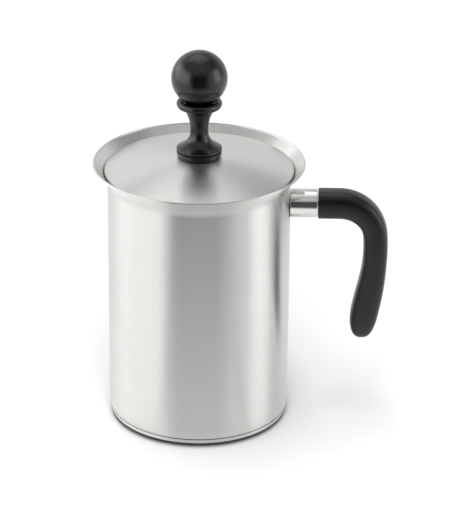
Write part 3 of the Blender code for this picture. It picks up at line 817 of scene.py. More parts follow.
@dataclass
class Handle(Assembly):
    """The polished ferrule, the hooked black grip and the screw that holds it."""

    finishes: ClassVar[Mapping[str, Finish]] = {
        "grip": BLACK_PLASTIC, "ferrule": POLISHED_STEEL, "grip_screw": POLISHED_STEEL,
        "handle_boss": POLISHED_STEEL, "handle_rod": POLISHED_STEEL}
    body: Body = Body.JUG
    height: float = field(default_factory=lambda: middle("handle_ferrule", Axis.UP))
    wall: float = 44.3 * MM
    ferrule_wall: float = 1.5 * MM
    ferrule_round: float = 0.35 * MM
    ferrule_steps: int = 5
    cope_round: float = 0.3 * MM
    ferrule_sides: int = 96
    root_thickness: float = 13.8 * MM
    narrow_thickness: float = 11.9 * MM
    swell_thickness: float = 13.6 * MM
    edge_round: float = 0.6 * MM
    edge_steps: int = 6
    straight: float = 10.5 * MM
    straight_steps: int = 10
    bend_radius: float = 17.5 * MM
    bend_angle: float = math.radians(86.0)
    bend_steps: int = 40
    tail_drop: float = 54.5 * MM
    tail_tuck: float = 5.6 * MM
    tail_leave: float = 24.0 * MM
    tail_arrive: float = 16.5 * MM
    tail_steps: int = 90
    swell_below_bend: float = 11.0 * MM
    swell_above_tip: float = 18.0 * MM
    squareness: float = 3.0
    tip_round: float = 15.8 * MM
    tip_fullness: float = 2.4
    tip_crowding: float = 1.6
    grip_sides: int = 72
    clearance: float = 0.3 * MM
    hole_sides: int = 48
    screw_sides: int = 48
    screw_steps: int = 4
    screw_sink: float = 1.0 * MM
    screw_head: float = 2.0 * MM
    screw_head_round: float = 0.35 * MM
    screw_seat_round: float = 0.1 * MM
    screw_shank: float = 1.5 * MM
    screw_end_round: float = 0.4 * MM
    screw_socket: float = 1.25 * MM
    screw_socket_depth: float = 1.2 * MM

    def ferrule_mesh(self) -> Shape:
        """The sleeve between jug and grip, coped to the wall and rounded at its edges.

        Returns:
            The sleeve, upright until it is laid along the handle.
        """
        radius = span("handle_ferrule").z / 2
        end = high("handle_ferrule").x
        bore = radius - self.ferrule_wall
        outline = filleted([(bore, self.wall, 0.0), (radius, self.wall, self.cope_round),
                            (radius, end, self.ferrule_round), (bore, end, self.ferrule_round)],
                           self.ferrule_steps)
        data = spun(outline, self.ferrule_sides)
        halfway = (self.wall + end) / 2
        for vert in data.verts:
            if vert.co.z < halfway:
                vert.co.z += math.sqrt(self.wall ** 2 - vert.co.y ** 2) - self.wall
        return data

    def stations(self) -> list[Corner]:
        """Points along the grip's middle line.

        Returns:
            The points from the ferrule to the tip, each as (x, z, turn).
        """
        start_x = low("handle_grip").x
        bend_x = start_x + self.straight
        bend_z = self.height - self.bend_radius
        found = [(start_x + self.straight * step / self.straight_steps, self.height, 0.0)
                 for step in range(self.straight_steps)]
        for step in range(self.bend_steps):
            turn = self.bend_angle * step / self.bend_steps
            found.append((bend_x + self.bend_radius * math.sin(turn),
                          bend_z + self.bend_radius * math.cos(turn), turn))
        sine = math.sin(self.bend_angle)
        cosine = math.cos(self.bend_angle)
        start = Vector((bend_x + self.bend_radius * sine, bend_z + self.bend_radius * cosine))
        tip = start - Vector((self.tail_tuck, self.tail_drop))
        leave = start + Vector((cosine, -sine)) * self.tail_leave
        arrive = tip + Vector((0.0, self.tail_arrive))
        for step in range(self.tail_steps + 1):
            u = (1 - step / self.tail_steps) ** self.tip_crowding
            t = 1 - u
            place = (start * u ** 3 + leave * (3 * u * u * t) + arrive * (3 * u * t * t)
                     + tip * t ** 3)
            slope = ((leave - start) * (u * u) + (arrive - leave) * (2 * u * t)
                     + (tip - arrive) * (t * t))
            found.append((place.x, place.y, math.atan2(-slope.y, slope.x)))
        return found

    def thickness(self, along: float, length: float) -> float:
        """The grip's thickness before its tip rounds off.

        Args:
            along: The distance along the grip's middle line.
            length: That line's length.

        Returns:
            The thickness.
        """
        bend_end = self.straight + self.bend_radius * self.bend_angle
        swell_start = bend_end + self.swell_below_bend
        swell_end = length - self.swell_above_tip
        narrowed = eased((along - self.straight) / (bend_end - self.straight))
        swollen = eased((along - swell_start) / (swell_end - swell_start))
        return (self.root_thickness + (self.narrow_thickness - self.root_thickness) * narrowed
                + (self.swell_thickness - self.narrow_thickness) * swollen)

    def squared(self, share: float) -> float:
        """A sine or cosine bent so that a round section becomes a square one with round corners."""
        return math.copysign(abs(share) ** (2 / self.squareness), share)

    def grip_mesh(self) -> Shape:
        """The hooked grip, swept along its middle line.

        Returns:
            The grip, in its place.
        """
        stations = self.stations()
        reach = [0.0]
        for here, there in zip(stations, stations[1:]):
            reach.append(reach[-1] + math.dist(here[:2], there[:2]))
        width = span("handle_grip").y
        sections = []
        for (x, z, turn), along in zip(stations, reach):
            into_tip = max(0.0, 1 - (reach[-1] - along) / self.tip_round)
            size = max(0.0, 1 - into_tip ** self.tip_fullness) ** (1 / self.tip_fullness)
            thick = size * self.thickness(along, reach[-1]) / 2
            sections.append((x, z, turn, thick, size * width / 2))
        x, z, turn, thick, wide = sections[0]
        rounded = []
        for lean in quarter_turns(self.edge_steps)[:-1]:
            inset = self.edge_round * (1 - math.sin(lean))
            inward = x + self.edge_round * (1 - math.cos(lean))
            rounded.append((inward, z, turn, thick - inset, wide - inset))
        rings = []
        for x, z, turn, thick, wide in rounded + sections[1:-1]:
            ring = []
            for angle in even_turns(self.grip_sides):
                out = thick * self.squared(math.cos(angle))
                ring.append(Vector((x + out * math.sin(turn), wide * self.squared(math.sin(angle)),
                                    z + out * math.cos(turn))))
            rings.append(ring)
        data = bmesh.new()
        lofted(data, rings)
        return data

    def cut(self, piece: Piece, profile: Sequence[Point], place: Matrix) -> None:
        """Cut a turned hole in a piece.

        Args:
            piece: The piece.
            profile: The hole's outline, round Z.
            place: Where the hole is.
        """
        data = spun(profile, self.hole_sides)
        data.transform(place)
        bmesh.ops.recalc_face_normals(data, faces=data.faces)
        hole = meshed("hole", data)
        tool = stood("hole", hole)
        boolean = piece.modifiers.new("hole", "BOOLEAN")
        boolean.solver = "EXACT"
        boolean.object = tool
        shown = piece.evaluated_get(bpy.context.evaluated_depsgraph_get())
        solid = bpy.data.meshes.new_from_object(shown)
        piece.modifiers.clear()
        uncut = piece.data
        solid.name = uncut.name + "_cut"
        piece.data = solid
        bpy.data.objects.remove(tool)
        bpy.data.meshes.remove(uncut)
        bpy.data.meshes.remove(hole)

    def cut_grip(self, grip: Piece) -> None:
        """Cut the rod's socket and the screw's stepped hole in the grip.

        Args:
            grip: The grip.
        """
        rod = span("handle_rod").z / 2 + self.clearance
        start = low("handle_grip").x - self.edge_round
        depth = high("handle_rod").x + self.clearance - start
        socket = [(0.0, 0.0), (rod, 0.0), (rod, depth), (0.0, depth)]
        lying = Matrix.Translation((start, 0.0, self.height)) @ Matrix.Rotation(QUARTER, 4, "Y")
        self.cut(grip, socket, lying)
        base = low("handle_screw").z
        head = span("handle_screw").x / 2 + self.clearance
        shank = self.screw_shank + self.clearance
        below = self.screw_sink * 2
        step = below + self.screw_head + self.clearance
        top = self.height - base + below
        hole = [(0.0, 0.0), (head, 0.0), (head, step), (shank, step), (shank, top), (0.0, top)]
        centre = middle("handle_screw", Axis.ALONG_HANDLE)
        self.cut(grip, hole, Matrix.Translation((centre, 0.0, base - below)))

    def screw_mesh(self) -> Shape:
        """The screw, with a rounded head and a six-sided socket.

        Returns:
            The screw, in its place.
        """
        radius = span("handle_screw").x / 2
        length = span("handle_screw").z
        outline = filleted([(0.0, self.screw_socket_depth, 0.0),
                            (self.screw_socket, self.screw_socket_depth, 0.0),
                            (self.screw_socket, 0.0, 0.0), (radius, 0.0, self.screw_head_round),
                            (radius, self.screw_head, self.screw_seat_round),
                            (self.screw_shank, self.screw_head, 0.0),
                            (self.screw_shank, length, self.screw_end_round), (0.0, length, 0.0)],
                           self.screw_steps)
        data = spun(outline, self.screw_sides)
        for vert in data.verts:
            in_socket = MERGE < math.hypot(vert.co.x, vert.co.y) < self.screw_socket + MERGE
            if in_socket and vert.co.z < self.screw_head / 2 + self.screw_sink:
                turn = math.atan2(vert.co.y, vert.co.x) % FLAT_TURN - FLAT_TURN / 2
                stretch = math.cos(FLAT_TURN / 2) / math.cos(turn)
                vert.co.x *= stretch
                vert.co.y *= stretch
        centre = middle("handle_screw", Axis.ALONG_HANDLE)
        data.transform(Matrix.Translation((centre, 0.0, low("handle_screw").z)))
        return data

    def build(self) -> None:
        """Make the handle's meshes."""
        self.settle("ferrule", "handle_ferrule", self.ferrule_mesh(), Lay.ALONG_HANDLE, self.height)
        self.cut_grip(self.settle("grip", "handle_grip", self.grip_mesh()))
        self.settle("grip_screw", "handle_screw", self.screw_mesh())


@dataclass(frozen=True)
class HexagonNut:
    """A six-sided nut with turned chamfers, closed below where it has a crown."""

    node: str
    bore: float
    crown: float = 0.0
    sides: int = 96
    chamfer_share: float = 0.96
    chamfer_slope: float = math.tan(math.radians(28.0))

    def circle(self, radius: float, height: float) -> Ring:
        """A ring of points round the axis."""
        turns = even_turns(self.sides)
        return [Vector((radius * math.cos(t), radius * math.sin(t), height)) for t in turns]

    def edge(self, height: float, fall: float) -> Ring:
        """The chamfered edge of one face, which falls away towards the corners.

        Args:
            height: The face's height.
            fall: 1 for the upper face and -1 for the lower one.

        Returns:
            The edge's points.
        """
        half = span(self.node).y / 2
        points = []
        for turn in even_turns(self.sides):
            reach = half / math.cos(turn % FLAT_TURN - FLAT_TURN / 2)
            drop = (reach - half * self.chamfer_share) * self.chamfer_slope * fall
            points.append(Vector((reach * math.cos(turn), reach * math.sin(turn), height - drop)))
        return points

    def mesh(self) -> Shape:
        """The nut's shape.

        Returns:
            The nut, in its place on the axis.
        """
        chamfer = span(self.node).y / 2 * self.chamfer_share
        _, bottom, top = turned(self.node)
        data = bmesh.new()
        lofted(data, [self.circle(chamfer, bottom), self.edge(bottom, -1.0), self.edge(top, 1.0),
                      self.circle(chamfer, top), self.circle(self.bore, top),
                      self.circle(self.bore, bottom + self.crown)], looped=self.crown == 0.0)
        return data


@dataclass
class Lid(Assembly):
    """The domed lid that lies in the flare, with the bush that guides the rod."""

    finishes: ClassVar[Mapping[str, Finish]] = {
        "lid": LID_STEEL, "bush": KNOB_PLASTIC, "bush_nut": POLISHED_STEEL}
    body: Body = Body.LID
    sides: int = 192
    sheet: float = 0.8 * MM
    lip: float = 0.3 * MM
    rise: float = 7.9 * MM
    dome_steps: int = 36
    shoulder: float = 1.2 * MM
    shoulder_steps: int = 12
    edge_round: float = 0.2 * MM
    round_steps: int = 5
    hole: float = 5.8 * MM
    bush_sides: int = 128
    bush_shank: float = 5.5 * MM
    bush_shank_round: float = 0.4 * MM
    rod_bore: float = 2.3 * MM
    bore_round_below: float = 0.3 * MM
    bore_round_above: float = 0.2 * MM
    flange_height: float = 2.3 * MM
    flange_round: float = 0.8 * MM
    flange_edge: float = 0.15 * MM
    hold: float = 0.15 * MM

    def shell_profile(self) -> list[Point]:
        """The lid's outline.

        Returns:
            The outline, from the hole out over the dome and back under it.
        """
        radius, base, _ = turned("lid_shell")
        shoulder_x = radius - self.shoulder
        lean = 2 * math.atan((self.rise - self.lip - self.shoulder) / shoulder_x)
        dome = shoulder_x / math.sin(lean) + self.shoulder
        dome_centre = (0.0, base + self.rise - dome)
        shoulder_centre = (shoulder_x, base + self.lip)
        dome_end = QUARTER - lean

        def face(depth: float) -> list[Point]:
            """One face of the sheet, from the hole to the shoulder's foot.

            Args:
                depth: How far the face lies under the outer one.

            Returns:
                The points.
            """
            reach = dome - depth
            start = math.acos(self.hole / reach)
            points = arc(dome_centre, reach, start, dome_end, self.dome_steps)
            bend = arc(shoulder_centre, self.shoulder - depth, dome_end, 0.0, self.shoulder_steps)
            return points + bend[1:]

        edge = filleted([(radius, base + self.lip, 0.0), (radius, base, self.edge_round),
                         (radius - self.sheet, base, self.edge_round),
                         (radius - self.sheet, base + self.lip, 0.0)], self.round_steps)
        return face(0.0) + edge[1:-1] + face(self.sheet)[::-1]

    def bush_profile(self) -> list[Point]:
        """The bush's outline.

        Returns:
            The outline of a flange on the lid and a shank through it.
        """
        radius, foot, top = turned("lid_bush")
        seat = top - self.flange_height
        corners = [(self.rod_bore, foot, self.bore_round_below),
                   (self.bush_shank, foot, self.bush_shank_round), (self.bush_shank, seat, 0.0),
                   (radius, seat, self.flange_round), (radius, top, self.flange_edge),
                   (self.rod_bore, top, self.bore_round_above)]
        return held(filleted(corners, self.round_steps), self.hold)

    def build(self) -> None:
        """Make the lid's meshes."""
        self.settle("lid", "lid_shell", spun(self.shell_profile(), self.sides))
        self.settle("bush", "lid_bush", spun(self.bush_profile(), self.bush_sides))
        self.settle("bush_nut", "lid_bush_nut", HexagonNut("lid_bush_nut", self.hole).mesh())


@dataclass
class Knob(Assembly):
    """The black knob: a ball in a cup on a waisted neck, moulded in one."""

    finishes: ClassVar[Mapping[str, Finish]] = {
        "ball_knob": KNOB_PLASTIC, "knob_insert": TURNED_BRASS}
    body: Body = Body.PLUNGER
    sides: int = 144
    base: float = field(default_factory=lambda: low("knob").z)
    top: float = field(default_factory=lambda: high("knob").z)
    foot: float = 10.9 * MM
    foot_round: float = 0.7 * MM
    foot_steps: int = 14
    flare_sharpness: float = 2.8
    neck: float = 4.3 * MM
    neck_curve: float = 19.0 * MM
    neck_height: float = 10.5 * MM
    neck_steps: int = 48
    collar: float = 10.9 * MM
    collar_round: float = 2.0 * MM
    collar_height: float = 23.5 * MM
    collar_wrap: float = math.radians(60.0)
    collar_steps: int = 20
    cup_depth: float = 1.4 * MM
    cup_lip: float = 1.2 * MM
    cup_lip_round: float = 0.35 * MM
    cup_floor_round: float = 0.3 * MM
    cup_steps: int = 5
    ball: float = 13.4 * MM
    ball_steps: int = 60
    bore: float = 2.3 * MM
    pocket: float = 3.2 * MM
    pocket_depth: float = 10.3 * MM
    bore_depth: float = 16.1 * MM
    hold: float = 0.25 * MM

    def neck_radius(self, height: float) -> float:
        """The neck's radius.

        Args:
            height: The height above the foot's face.

        Returns:
            The radius.
        """
        away = height - self.neck_height
        if away > 0.0:
            return self.neck + self.neck_curve - math.sqrt(self.neck_curve ** 2 - away ** 2)
        share = away / (2 * self.foot_round - self.neck_height)
        return self.neck + (self.foot - self.foot_round - self.neck) * share ** self.flare_sharpness

    def profile(self) -> list[Point]:
        """The knob's outline.

        Returns:
            The outline, from the bore's end round the foot and up over the ball.
        """
        points = [(0.0, self.bore_depth), (self.bore, self.bore_depth),
                  (self.bore, self.pocket_depth), (self.pocket, self.pocket_depth),
                  (self.pocket, 0.0)]
        points += arc((self.foot - self.foot_round, self.foot_round), self.foot_round, -QUARTER,
                      QUARTER, self.foot_steps)
        start = 2 * self.foot_round
        end = self.collar_height - self.collar_round
        for step in range(1, self.neck_steps + 1):
            height = start + (end - start) * step / self.neck_steps
            points.append((self.neck_radius(height), height))
        points += arc((self.collar - self.collar_round, self.collar_height), self.collar_round,
                      -self.collar_wrap, self.collar_wrap, self.collar_steps)
        edge, cup_top = points[-1]
        cup_floor = cup_top - self.cup_depth
        centre = self.top - self.base - self.ball
        seat = math.sqrt(self.ball ** 2 - (centre - cup_floor) ** 2)
        points += filleted([(edge, cup_top, 0.0),
                            (edge - self.cup_lip, cup_top, self.cup_lip_round),
                            ((edge + seat) / 2, cup_floor, self.cup_floor_round),
                            (seat, cup_floor, 0.0)], self.cup_steps)[1:]
        seat_turn = -math.acos(seat / self.ball)
        points += arc((0.0, centre), self.ball, seat_turn, QUARTER, self.ball_steps)[1:-1]
        points.append((0.0, self.top - self.base))
        return held([(radius, height + self.base) for radius, height in points], self.hold)

    def build(self) -> None:
        """Make the knob's mesh."""
        self.settle("ball_knob", "knob", spun(self.profile(), self.sides))


@dataclass
class Plunger(Assembly):
    """The rod and the stack on its lower end: nut, plates, wire screens, spacer and collar."""

    finishes: ClassVar[Mapping[str, Finish]] = {
        "rod": POLISHED_STEEL, "stop_collar": POLISHED_STEEL, "spacer": POLISHED_STEEL,
        "closed_nut": POLISHED_STEEL, "lower_plate": POLISHED_STEEL, "upper_plate": POLISHED_STEEL,
        "lower_cloth": CLOTH_WIRE, "upper_cloth": CLOTH_WIRE, "lower_coil": POLISHED_STEEL,
        "upper_coil": POLISHED_STEEL}
    body: Body = Body.PLUNGER
    bore: float = 2.3 * MM
    rod_round: float = 0.4 * MM
    rod_steps: int = 5
    rod_hold: float = 0.3 * MM
    rod_sides: int = 64
    ring_round: float = 0.35 * MM
    ring_bore_round: float = 0.2 * MM
    ring_steps: int = 4
    ring_hold: float = 0.2 * MM
    ring_sides: int = 96
    nut_crown: float = 1.2 * MM
    plate_rim: float = 4.0 * MM
    plate_hub: float = 9.0 * MM
    plate_spokes: int = 6
    plate_sides: int = 160
    plate_bore_stride: int = 4
    plate_bevel: float = 0.15 * MM
    bevel_angle: float = math.radians(60.0)
    bevel_steps: int = 2
    spoke_share: float = 0.2
    window_round: float = 1.5 * MM
    window_round_steps: int = 6
    window_steps: int = 24
    wire: float = 0.15 * MM
    wire_pitch: float = 1.6 * MM
    wire_sides: int = 5
    coil_wire: float = 0.25 * MM
    coil_turns: int = 280
    coil_points: int = 10
    coil_reach: float = 1.1 * MM

    def ring_mesh(self, node: str) -> Shape:
        """A ring on the rod, with rounded edges.

        Args:
            node: The node that it stands for.

        Returns:
            The ring, in its place.
        """
        radius, bottom, top = turned(node)
        corners = [(self.bore, bottom, self.ring_bore_round), (radius, bottom, self.ring_round),
                   (radius, top, self.ring_round), (self.bore, top, self.ring_bore_round)]
        return spun(held(filleted(corners, self.ring_steps), self.ring_hold), self.ring_sides)

    def rod_mesh(self) -> Shape:
        """The rod, with rounded ends.

        Returns:
            The rod, in its place.
        """
        radius, bottom, top = turned("plunger_rod")
        corners = [(0.0, bottom, 0.0), (radius, bottom, self.rod_round),
                   (radius, top, self.rod_round), (0.0, top, 0.0)]
        return spun(held(filleted(corners, self.rod_steps), self.rod_hold), self.rod_sides)

    def window_corner(self, radius: float, inward: int, turn: float, side: int) -> list[Point]:
        """A rounded corner of a window, from a spoke onto an arc.

        Args:
            radius: The arc's radius.
            inward: 1 where the window lies inside the arc, and -1 where it lies outside.
            turn: The spoke's angle.
            side: 1 where the window lies on from the spoke, and -1 where it lies before it.

        Returns:
            The points, as (radius, angle).
        """
        lean = self.window_round / radius
        return [(radius - inward * self.window_round * (1 - math.sin(t)),
                 turn + side * lean * (1 - math.cos(t)))
                for t in quarter_turns(self.window_round_steps)]

    def window(self, index: int, outer: float) -> list[Point]:
        """One rounded window between two spokes of a plate.

        Args:
            index: Which window.
            outer: The window's outer radius.

        Returns:
            Its outline.
        """
        step = math.tau / self.plate_spokes
        first = step * (index + self.spoke_share)
        last = step * (index + 1)
        polar: list[Point] = []
        arcs = ((1, outer, first, last), (-1, self.plate_hub, last, first))
        for inward, radius, begin, finish in arcs:
            onto = self.window_corner(radius, inward, begin, inward)
            off = self.window_corner(radius, inward, finish, -inward)[::-1]
            start = onto[-1][1]
            sweep = off[0][1] - start
            polar += onto
            polar += [(radius, start + sweep * part / self.window_steps)
                      for part in range(1, self.window_steps)]
            polar += off
        return [(radius * math.cos(turn), radius * math.sin(turn)) for radius, turn in polar]

    def plate_mesh(self) -> Shape:
        """A spoked plate with rounded windows and broken edges.

        Returns:
            The plate, standing on z = 0.
        """
        radius = high("lower_screen_plate").x
        data = bmesh.new()
        turns = even_turns(self.plate_sides)
        circles = ((radius, 1), (self.bore, self.plate_bore_stride))
        loops = [[(reach * math.cos(t), reach * math.sin(t)) for t in turns[::stride]]
                 for reach, stride in circles]
        loops += [self.window(index, radius - self.plate_rim) for index in range(self.plate_spokes)]
        edges = []
        for loop in loops:
            corners = [data.verts.new((x, y, 0.0)) for x, y in loop]
            edges += [data.edges.new((a, b)) for a, b in zip(corners, corners[1:] + corners[:1])]
        bmesh.ops.triangle_fill(data, use_beauty=True, use_dissolve=False, edges=edges)
        grown = bmesh.ops.extrude_face_region(data, geom=list(data.faces), use_keep_orig=True)
        raised = [item for item in grown["geom"] if isinstance(item, bmesh.types.BMVert)]
        bmesh.ops.translate(data, verts=raised, vec=UPWARD * span("lower_screen_plate").z)
        bmesh.ops.recalc_face_normals(data, faces=data.faces)
        rims = [edge for edge in data.edges
                if len(edge.link_faces) == 2 and edge.calc_face_angle() > self.bevel_angle]
        bmesh.ops.bevel(data, geom=rims, offset=self.plate_bevel, segments=self.bevel_steps,
                        profile=0.5, affect="EDGES")
        return data

    def wire_run(self, start: float, end: float, offset: float, over: float,
                 sideways: bool) -> list[Vector]:
        """One wire of the cloth, which goes over and under those that cross it.

        Args:
            start: Where the wire starts along its own direction.
            end: Where it ends.
            offset: Its place across that direction.
            over: 1 where it passes over the crossing at 0, and -1 where it passes under.
            sideways: Whether the wire runs along Y and not along X.

        Returns:
            The wire's middle line.
        """
        count = max(2, round((end - start) / (self.wire_pitch / 2)))
        path = []
        for index in range(count + 1):
            along = start + (end - start) * index / count
            height = over * self.wire * math.cos(math.pi * along / self.wire_pitch)
            path.append(Vector((offset, along, height) if sideways else (along, offset, height)))
        return path

    def cloth_mesh(self) -> Shape:
        """A round of plain-woven wire cloth with a hole for the rod.

        Returns:
            The cloth, about z = 0.
        """
        outer = high("lower_mesh").x
        hole = self.bore + 2 * self.wire
        count = int(outer / self.wire_pitch)
        data = bmesh.new()
        for sideways in (False, True):
            for index in range(-count, count + 1):
                offset = index * self.wire_pitch
                reach = math.sqrt(outer * outer - offset * offset)
                over = (1.0 if index % 2 else -1.0) * (-1.0 if sideways else 1.0)
                runs = [(-reach, reach)]
                if abs(offset) < hole:
                    inner = math.sqrt(hole * hole - offset * offset)
                    runs = [(-reach, -inner), (inner, reach)]
                for start, end in runs:
                    if end - start < self.wire_pitch:
                        continue
                    path = self.wire_run(start, end, offset, over, sideways)
                    across = [UPWARD] * len(path)
                    lofted(data, tube_rings(path, across, self.wire, self.wire_sides))
        return data

    def coil_mesh(self) -> Shape:
        """The coil spring round a screen's edge, closed into a ring.

        Returns:
            The spring, about z = 0.
        """
        ring = high("lower_edge_spring").x - self.coil_reach
        coil = self.coil_reach - self.coil_wire
        count = self.coil_turns * self.coil_points
        path = []
        outward = []
        for index, round_ring in enumerate(even_turns(count)):
            round_coil = math.tau * index / self.coil_points
            radial = Vector((math.cos(round_ring), math.sin(round_ring), 0.0))
            across = radial * math.cos(round_coil) + UPWARD * math.sin(round_coil)
            path.append(radial * ring + across * coil)
            outward.append(across)
        rings = tube_rings(path, outward, self.coil_wire, self.wire_sides, looped=True)
        data = bmesh.new()
        lofted(data, rings, looped=True)
        return data

    def build(self) -> None:
        """Make the plunger's meshes, each pair of screen pieces from one mesh."""
        self.settle("rod", "plunger_rod", self.rod_mesh())
        for name, node in (("stop_collar", "rod_collar"), ("spacer", "screen_spacer")):
            self.settle(name, node, self.ring_mesh(node))
        nut = HexagonNut("bottom_nut", self.bore, self.nut_crown)
        self.settle("closed_nut", nut.node, nut.mesh())
        makers = (("plate", "screen_plate", self.plate_mesh), ("cloth", "mesh", self.cloth_mesh),
                  ("coil", "edge_spring", self.coil_mesh))
        for name, kind, make in makers:
            shape = make()
            for level in ("lower_", "upper_"):
                node = level + kind
                height = low(node).z if name == "plate" else middle(node, Axis.UP)
                shape = self.settle(level + name, node, shape, height=height).data


@dataclass(frozen=True)
class SoftLamp:
    """A far, wide lamp that lights the whole set evenly, with soft shadows."""

    name: str
    azimuth: float
    elevation: float
    spread: float
    level: float

    def place(self) -> None:
        """Hang the lamp, so that a white face turned to it shows its level."""
        lamp = bpy.data.lights.new(self.name, "SUN")
        lamp.energy = self.level * math.pi
        lamp.angle = math.radians(self.spread)
        light = stood(self.name, lamp)
        away = heading(self.azimuth, self.elevation)
        light.rotation_euler = away.to_track_quat("Z", "Y").to_euler()
        light.visible_glossy = False


@dataclass(frozen=True)
class Panel:
    """One soft-edged panel of the tent, in degrees as seen from the object."""

    west: float
    east: float
    low: float
    high: float
    grey: float
    soft_side: float
    soft_end: float

    def cover(self, azimuth: float, elevation: float) -> float:
        """How much of a direction the panel covers.

        Args:
            azimuth: Degrees to the right of the camera's side.
            elevation: Degrees above the level.

        Returns:
            A share from 0 to 1.
        """
        centre = (self.west + self.east) / 2
        turn = (azimuth - centre + 180.0) % 360.0 - 180.0
        side = ((self.east - self.west) / 2 - abs(turn)) / self.soft_side
        end = min(elevation - self.low, self.high - elevation) / self.soft_end
        return eased(side + 0.5) * eased(end + 0.5)


@dataclass
class Tent:
    """Grey and white panels round the set, each over those before it, seen only in reflections."""

    target: Vector
    distance: float = 2.2
    lift: float = 0.6 * MM
    lowest: float = -58.0
    column_step: float = 3.0
    row_step: float = 2.0
    open_grey: float = 0.50
    # Each panel's west, east, low, high, grey, soft side and soft end.
    panels: tuple[Panel, ...] = (
        Panel(-400.0, 400.0, 76.0, 130.0, 0.95, 10.0, 12.0),
        Panel(120.0, 190.0, 57.0, 86.0, 1.40, 24.0, 8.0),
        Panel(178.0, 250.0, 50.0, 84.0, 1.50, 24.0, 8.0),
        Panel(176.0, 255.0, -6.0, 42.0, 0.95, 24.0, 12.0),
        Panel(120.0, 180.0, -6.0, 30.0, 0.80, 20.0, 12.0),
        Panel(-112.0, -41.0, -6.0, 33.0, 2.20, 16.0, 10.0),
        Panel(-130.0, -90.0, 6.0, 25.0, 2.50, 22.0, 10.0),
        Panel(64.0, 97.0, -6.0, 32.0, 2.45, 14.0, 10.0),
        Panel(84.0, 130.0, 37.0, 60.0, 0.25, 14.0, 8.0),
        Panel(-44.0, 50.0, 46.0, 64.0, 0.60, 10.0, 12.0),
        Panel(26.0, 66.0, -17.0, 28.0, 0.86, 22.0, 8.0),
        Panel(-31.0, 24.0, -80.0, 32.0, 0.05, 14.0, 8.0),
        Panel(-10.0, 38.0, -80.0, 32.0, 0.08, 30.0, 8.0),
        Panel(-33.0, 44.0, -90.0, -15.0, 1.02, 14.0, 16.0),
    )

    def spot(self, azimuth: float, elevation: float) -> Vector:
        """The place of a direction on the tent, or just over the floor where it points lower.

        Args:
            azimuth: Degrees to the right of the camera's side.
            elevation: Degrees above the level.

        Returns:
            The place.
        """
        away = heading(azimuth, elevation)
        reach = self.distance
        if elevation < 0.0:
            reach = min(reach, (self.target.z - self.lift) / -away.z)
        return self.target + away * reach

    def mesh(self) -> bpy.types.Mesh:
        """The tent's mesh.

        Returns:
            The mesh, with the grey level and the cover at each corner.
        """
        data = bmesh.new()
        grey = data.verts.layers.float.new("grey")
        cover = data.verts.layers.float.new("cover")
        rows = round((90.0 - self.lowest) / self.row_step)
        columns = round(360.0 / self.column_step)
        rings = []
        for row in range(rows):
            elevation = self.lowest + row * self.row_step
            ring = []
            for column in range(columns):
                azimuth = column * self.column_step
                vert = data.verts.new(self.spot(azimuth, elevation))
                vert[grey] = self.open_grey
                vert[cover] = 1.0 if elevation > 0.0 else 0.0
                for panel in self.panels:
                    share = panel.cover(azimuth, elevation)
                    vert[grey] += (panel.grey - vert[grey]) * share
                    vert[cover] = max(vert[cover], share)
                ring.append(vert)
            rings.append(ring)
        for below, above in zip(rings, rings[1:]):
            for column in range(columns):
                after = (column + 1) % columns
                data.faces.new((below[column], below[after], above[after], above[column]))
        return meshed("tent", data)

    def build(self) -> None:
        """Hang the tent."""
        tent = stood("tent", self.mesh())
        tent.visible_camera = False
        tent.visible_diffuse = False
        tent.visible_shadow = False
        material, shader = new_material("tent_panels")
        material.cycles.emission_sampling = "NONE"
        grey = shader.add("ShaderNodeAttribute", {}, attribute_name="grey")
        cover = shader.add("ShaderNodeAttribute", {}, attribute_name="cover")
        panel = shader.add("ShaderNodeEmission", {"Strength": grey.outputs["Fac"]})
        clear = shader.add("ShaderNodeBsdfTransparent", {})
        feeds = {0: cover.outputs["Fac"], 1: clear.outputs[0], 2: panel.outputs[0]}
        shader.surface(shader.add("ShaderNodeMixShader", feeds))
        tent.data.materials.append(material)


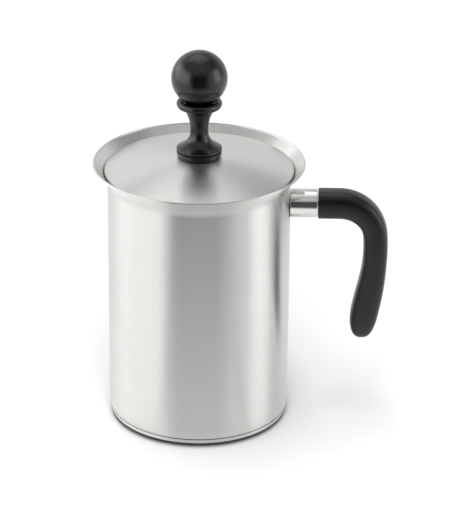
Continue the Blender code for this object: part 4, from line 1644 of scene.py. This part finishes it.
@dataclass
class Studio:
    """The white floor, the soft lights, the tent round the set, and the camera."""

    target: Vector = field(default_factory=lambda: Vector((0.0, 0.0, 0.08)))
    floor_radius: float = 6.0
    floor_sides: int = 96
    floor_white: float = 0.95
    world_light: float = 0.18
    camera_place: tuple[float, float, float] = (0.0431, -1.2362, 0.6481)
    camera_yaw: float = math.radians(-1.32)
    camera_pitch: float = math.radians(24.66)
    camera_roll: float = math.radians(0.45)
    camera_lens: float = 193.5
    camera_sensor: float = 36.0
    camera_nearest: float = 0.05
    camera_furthest: float = 50.0
    lights: tuple[SoftLamp, ...] = (
        SoftLamp("top_lamp", azimuth=-128.0, elevation=82.0, spread=32.0, level=0.36),
        SoftLamp("front_lamp", azimuth=2.0, elevation=76.0, spread=30.0, level=0.34),
        SoftLamp("low_lamp", azimuth=2.0, elevation=50.0, spread=30.0, level=0.32),
    )

    @staticmethod
    def seen_white(shader: Shader) -> Socket:
        """Mark the rays that show the white background, straight or in metal.

        Args:
            shader: The shader tree.

        Returns:
            1 for those rays and 0 for the rest.
        """
        path = shader.add("ShaderNodeLightPath", {}).outputs
        shown = shader.maths("MAXIMUM", path["Is Camera Ray"], path["Is Glossy Ray"])
        return shader.maths("MAXIMUM", shown, path["Is Transmission Ray"])

    def make_world(self) -> None:
        """White all round where it is seen, and a plain level of light elsewhere."""
        world = bpy.data.worlds.new("studio")
        bpy.context.scene.world = world
        world.use_nodes = True
        shader = Shader(world.node_tree)
        level = shader.between(self.seen_white(shader), self.world_light, 1.0)
        back = shader.add("ShaderNodeBackground", {"Color": WHITE, "Strength": level})
        shader.add("ShaderNodeOutputWorld", {"Surface": back.outputs[0]})

    def make_floor(self) -> None:
        """A wide white floor that keeps the object's shadow."""
        data = bmesh.new()
        bmesh.ops.create_circle(data, cap_ends=True, segments=self.floor_sides,
                                radius=self.floor_radius)
        floor = stood("floor", meshed("floor", data))
        material, shader = new_material("white_floor")
        paper = (self.floor_white, self.floor_white, self.floor_white, 1.0)
        shader.surface(shader.add("ShaderNodeBsdfDiffuse", {"Color": paper}))
        floor.data.materials.append(material)

    def make_camera(self) -> None:
        """The camera at the photograph's place, with no shift and no blur."""
        lens = bpy.data.cameras.new("camera")
        lens.lens = self.camera_lens
        lens.sensor_width = self.camera_sensor
        lens.clip_start = self.camera_nearest
        lens.clip_end = self.camera_furthest
        camera = stood("camera", lens)
        camera.matrix_world = (Matrix.Translation(self.camera_place)
                               @ Matrix.Rotation(-self.camera_yaw, 4, "Z")
                               @ Matrix.Rotation(QUARTER - self.camera_pitch, 4, "X")
                               @ Matrix.Rotation(self.camera_roll, 4, "Z"))
        bpy.context.scene.camera = camera

    def build(self) -> None:
        """Set up the floor, the lights and the camera."""
        bpy.context.scene.view_settings.view_transform = "Standard"
        self.make_world()
        self.make_floor()
        Tent(self.target).build()
        for lamp in self.lights:
            lamp.place()
        self.make_camera()
        LOG.info("studio: floor, tent, camera and %d lights", len(self.lights))


def main() -> None:
    """Build, dress and report each sub-assembly, then set up the studio."""
    logging.basicConfig(level=logging.INFO, format="%(message)s")
    wardrobe = Wardrobe()
    for assembly in (Jug(), Handle(), Lid(), Knob(), Plunger()):
        assembly.build()
        assembly.dress(wardrobe)
        assembly.report()
    Studio().build()


if __name__ == "__main__":
    main()
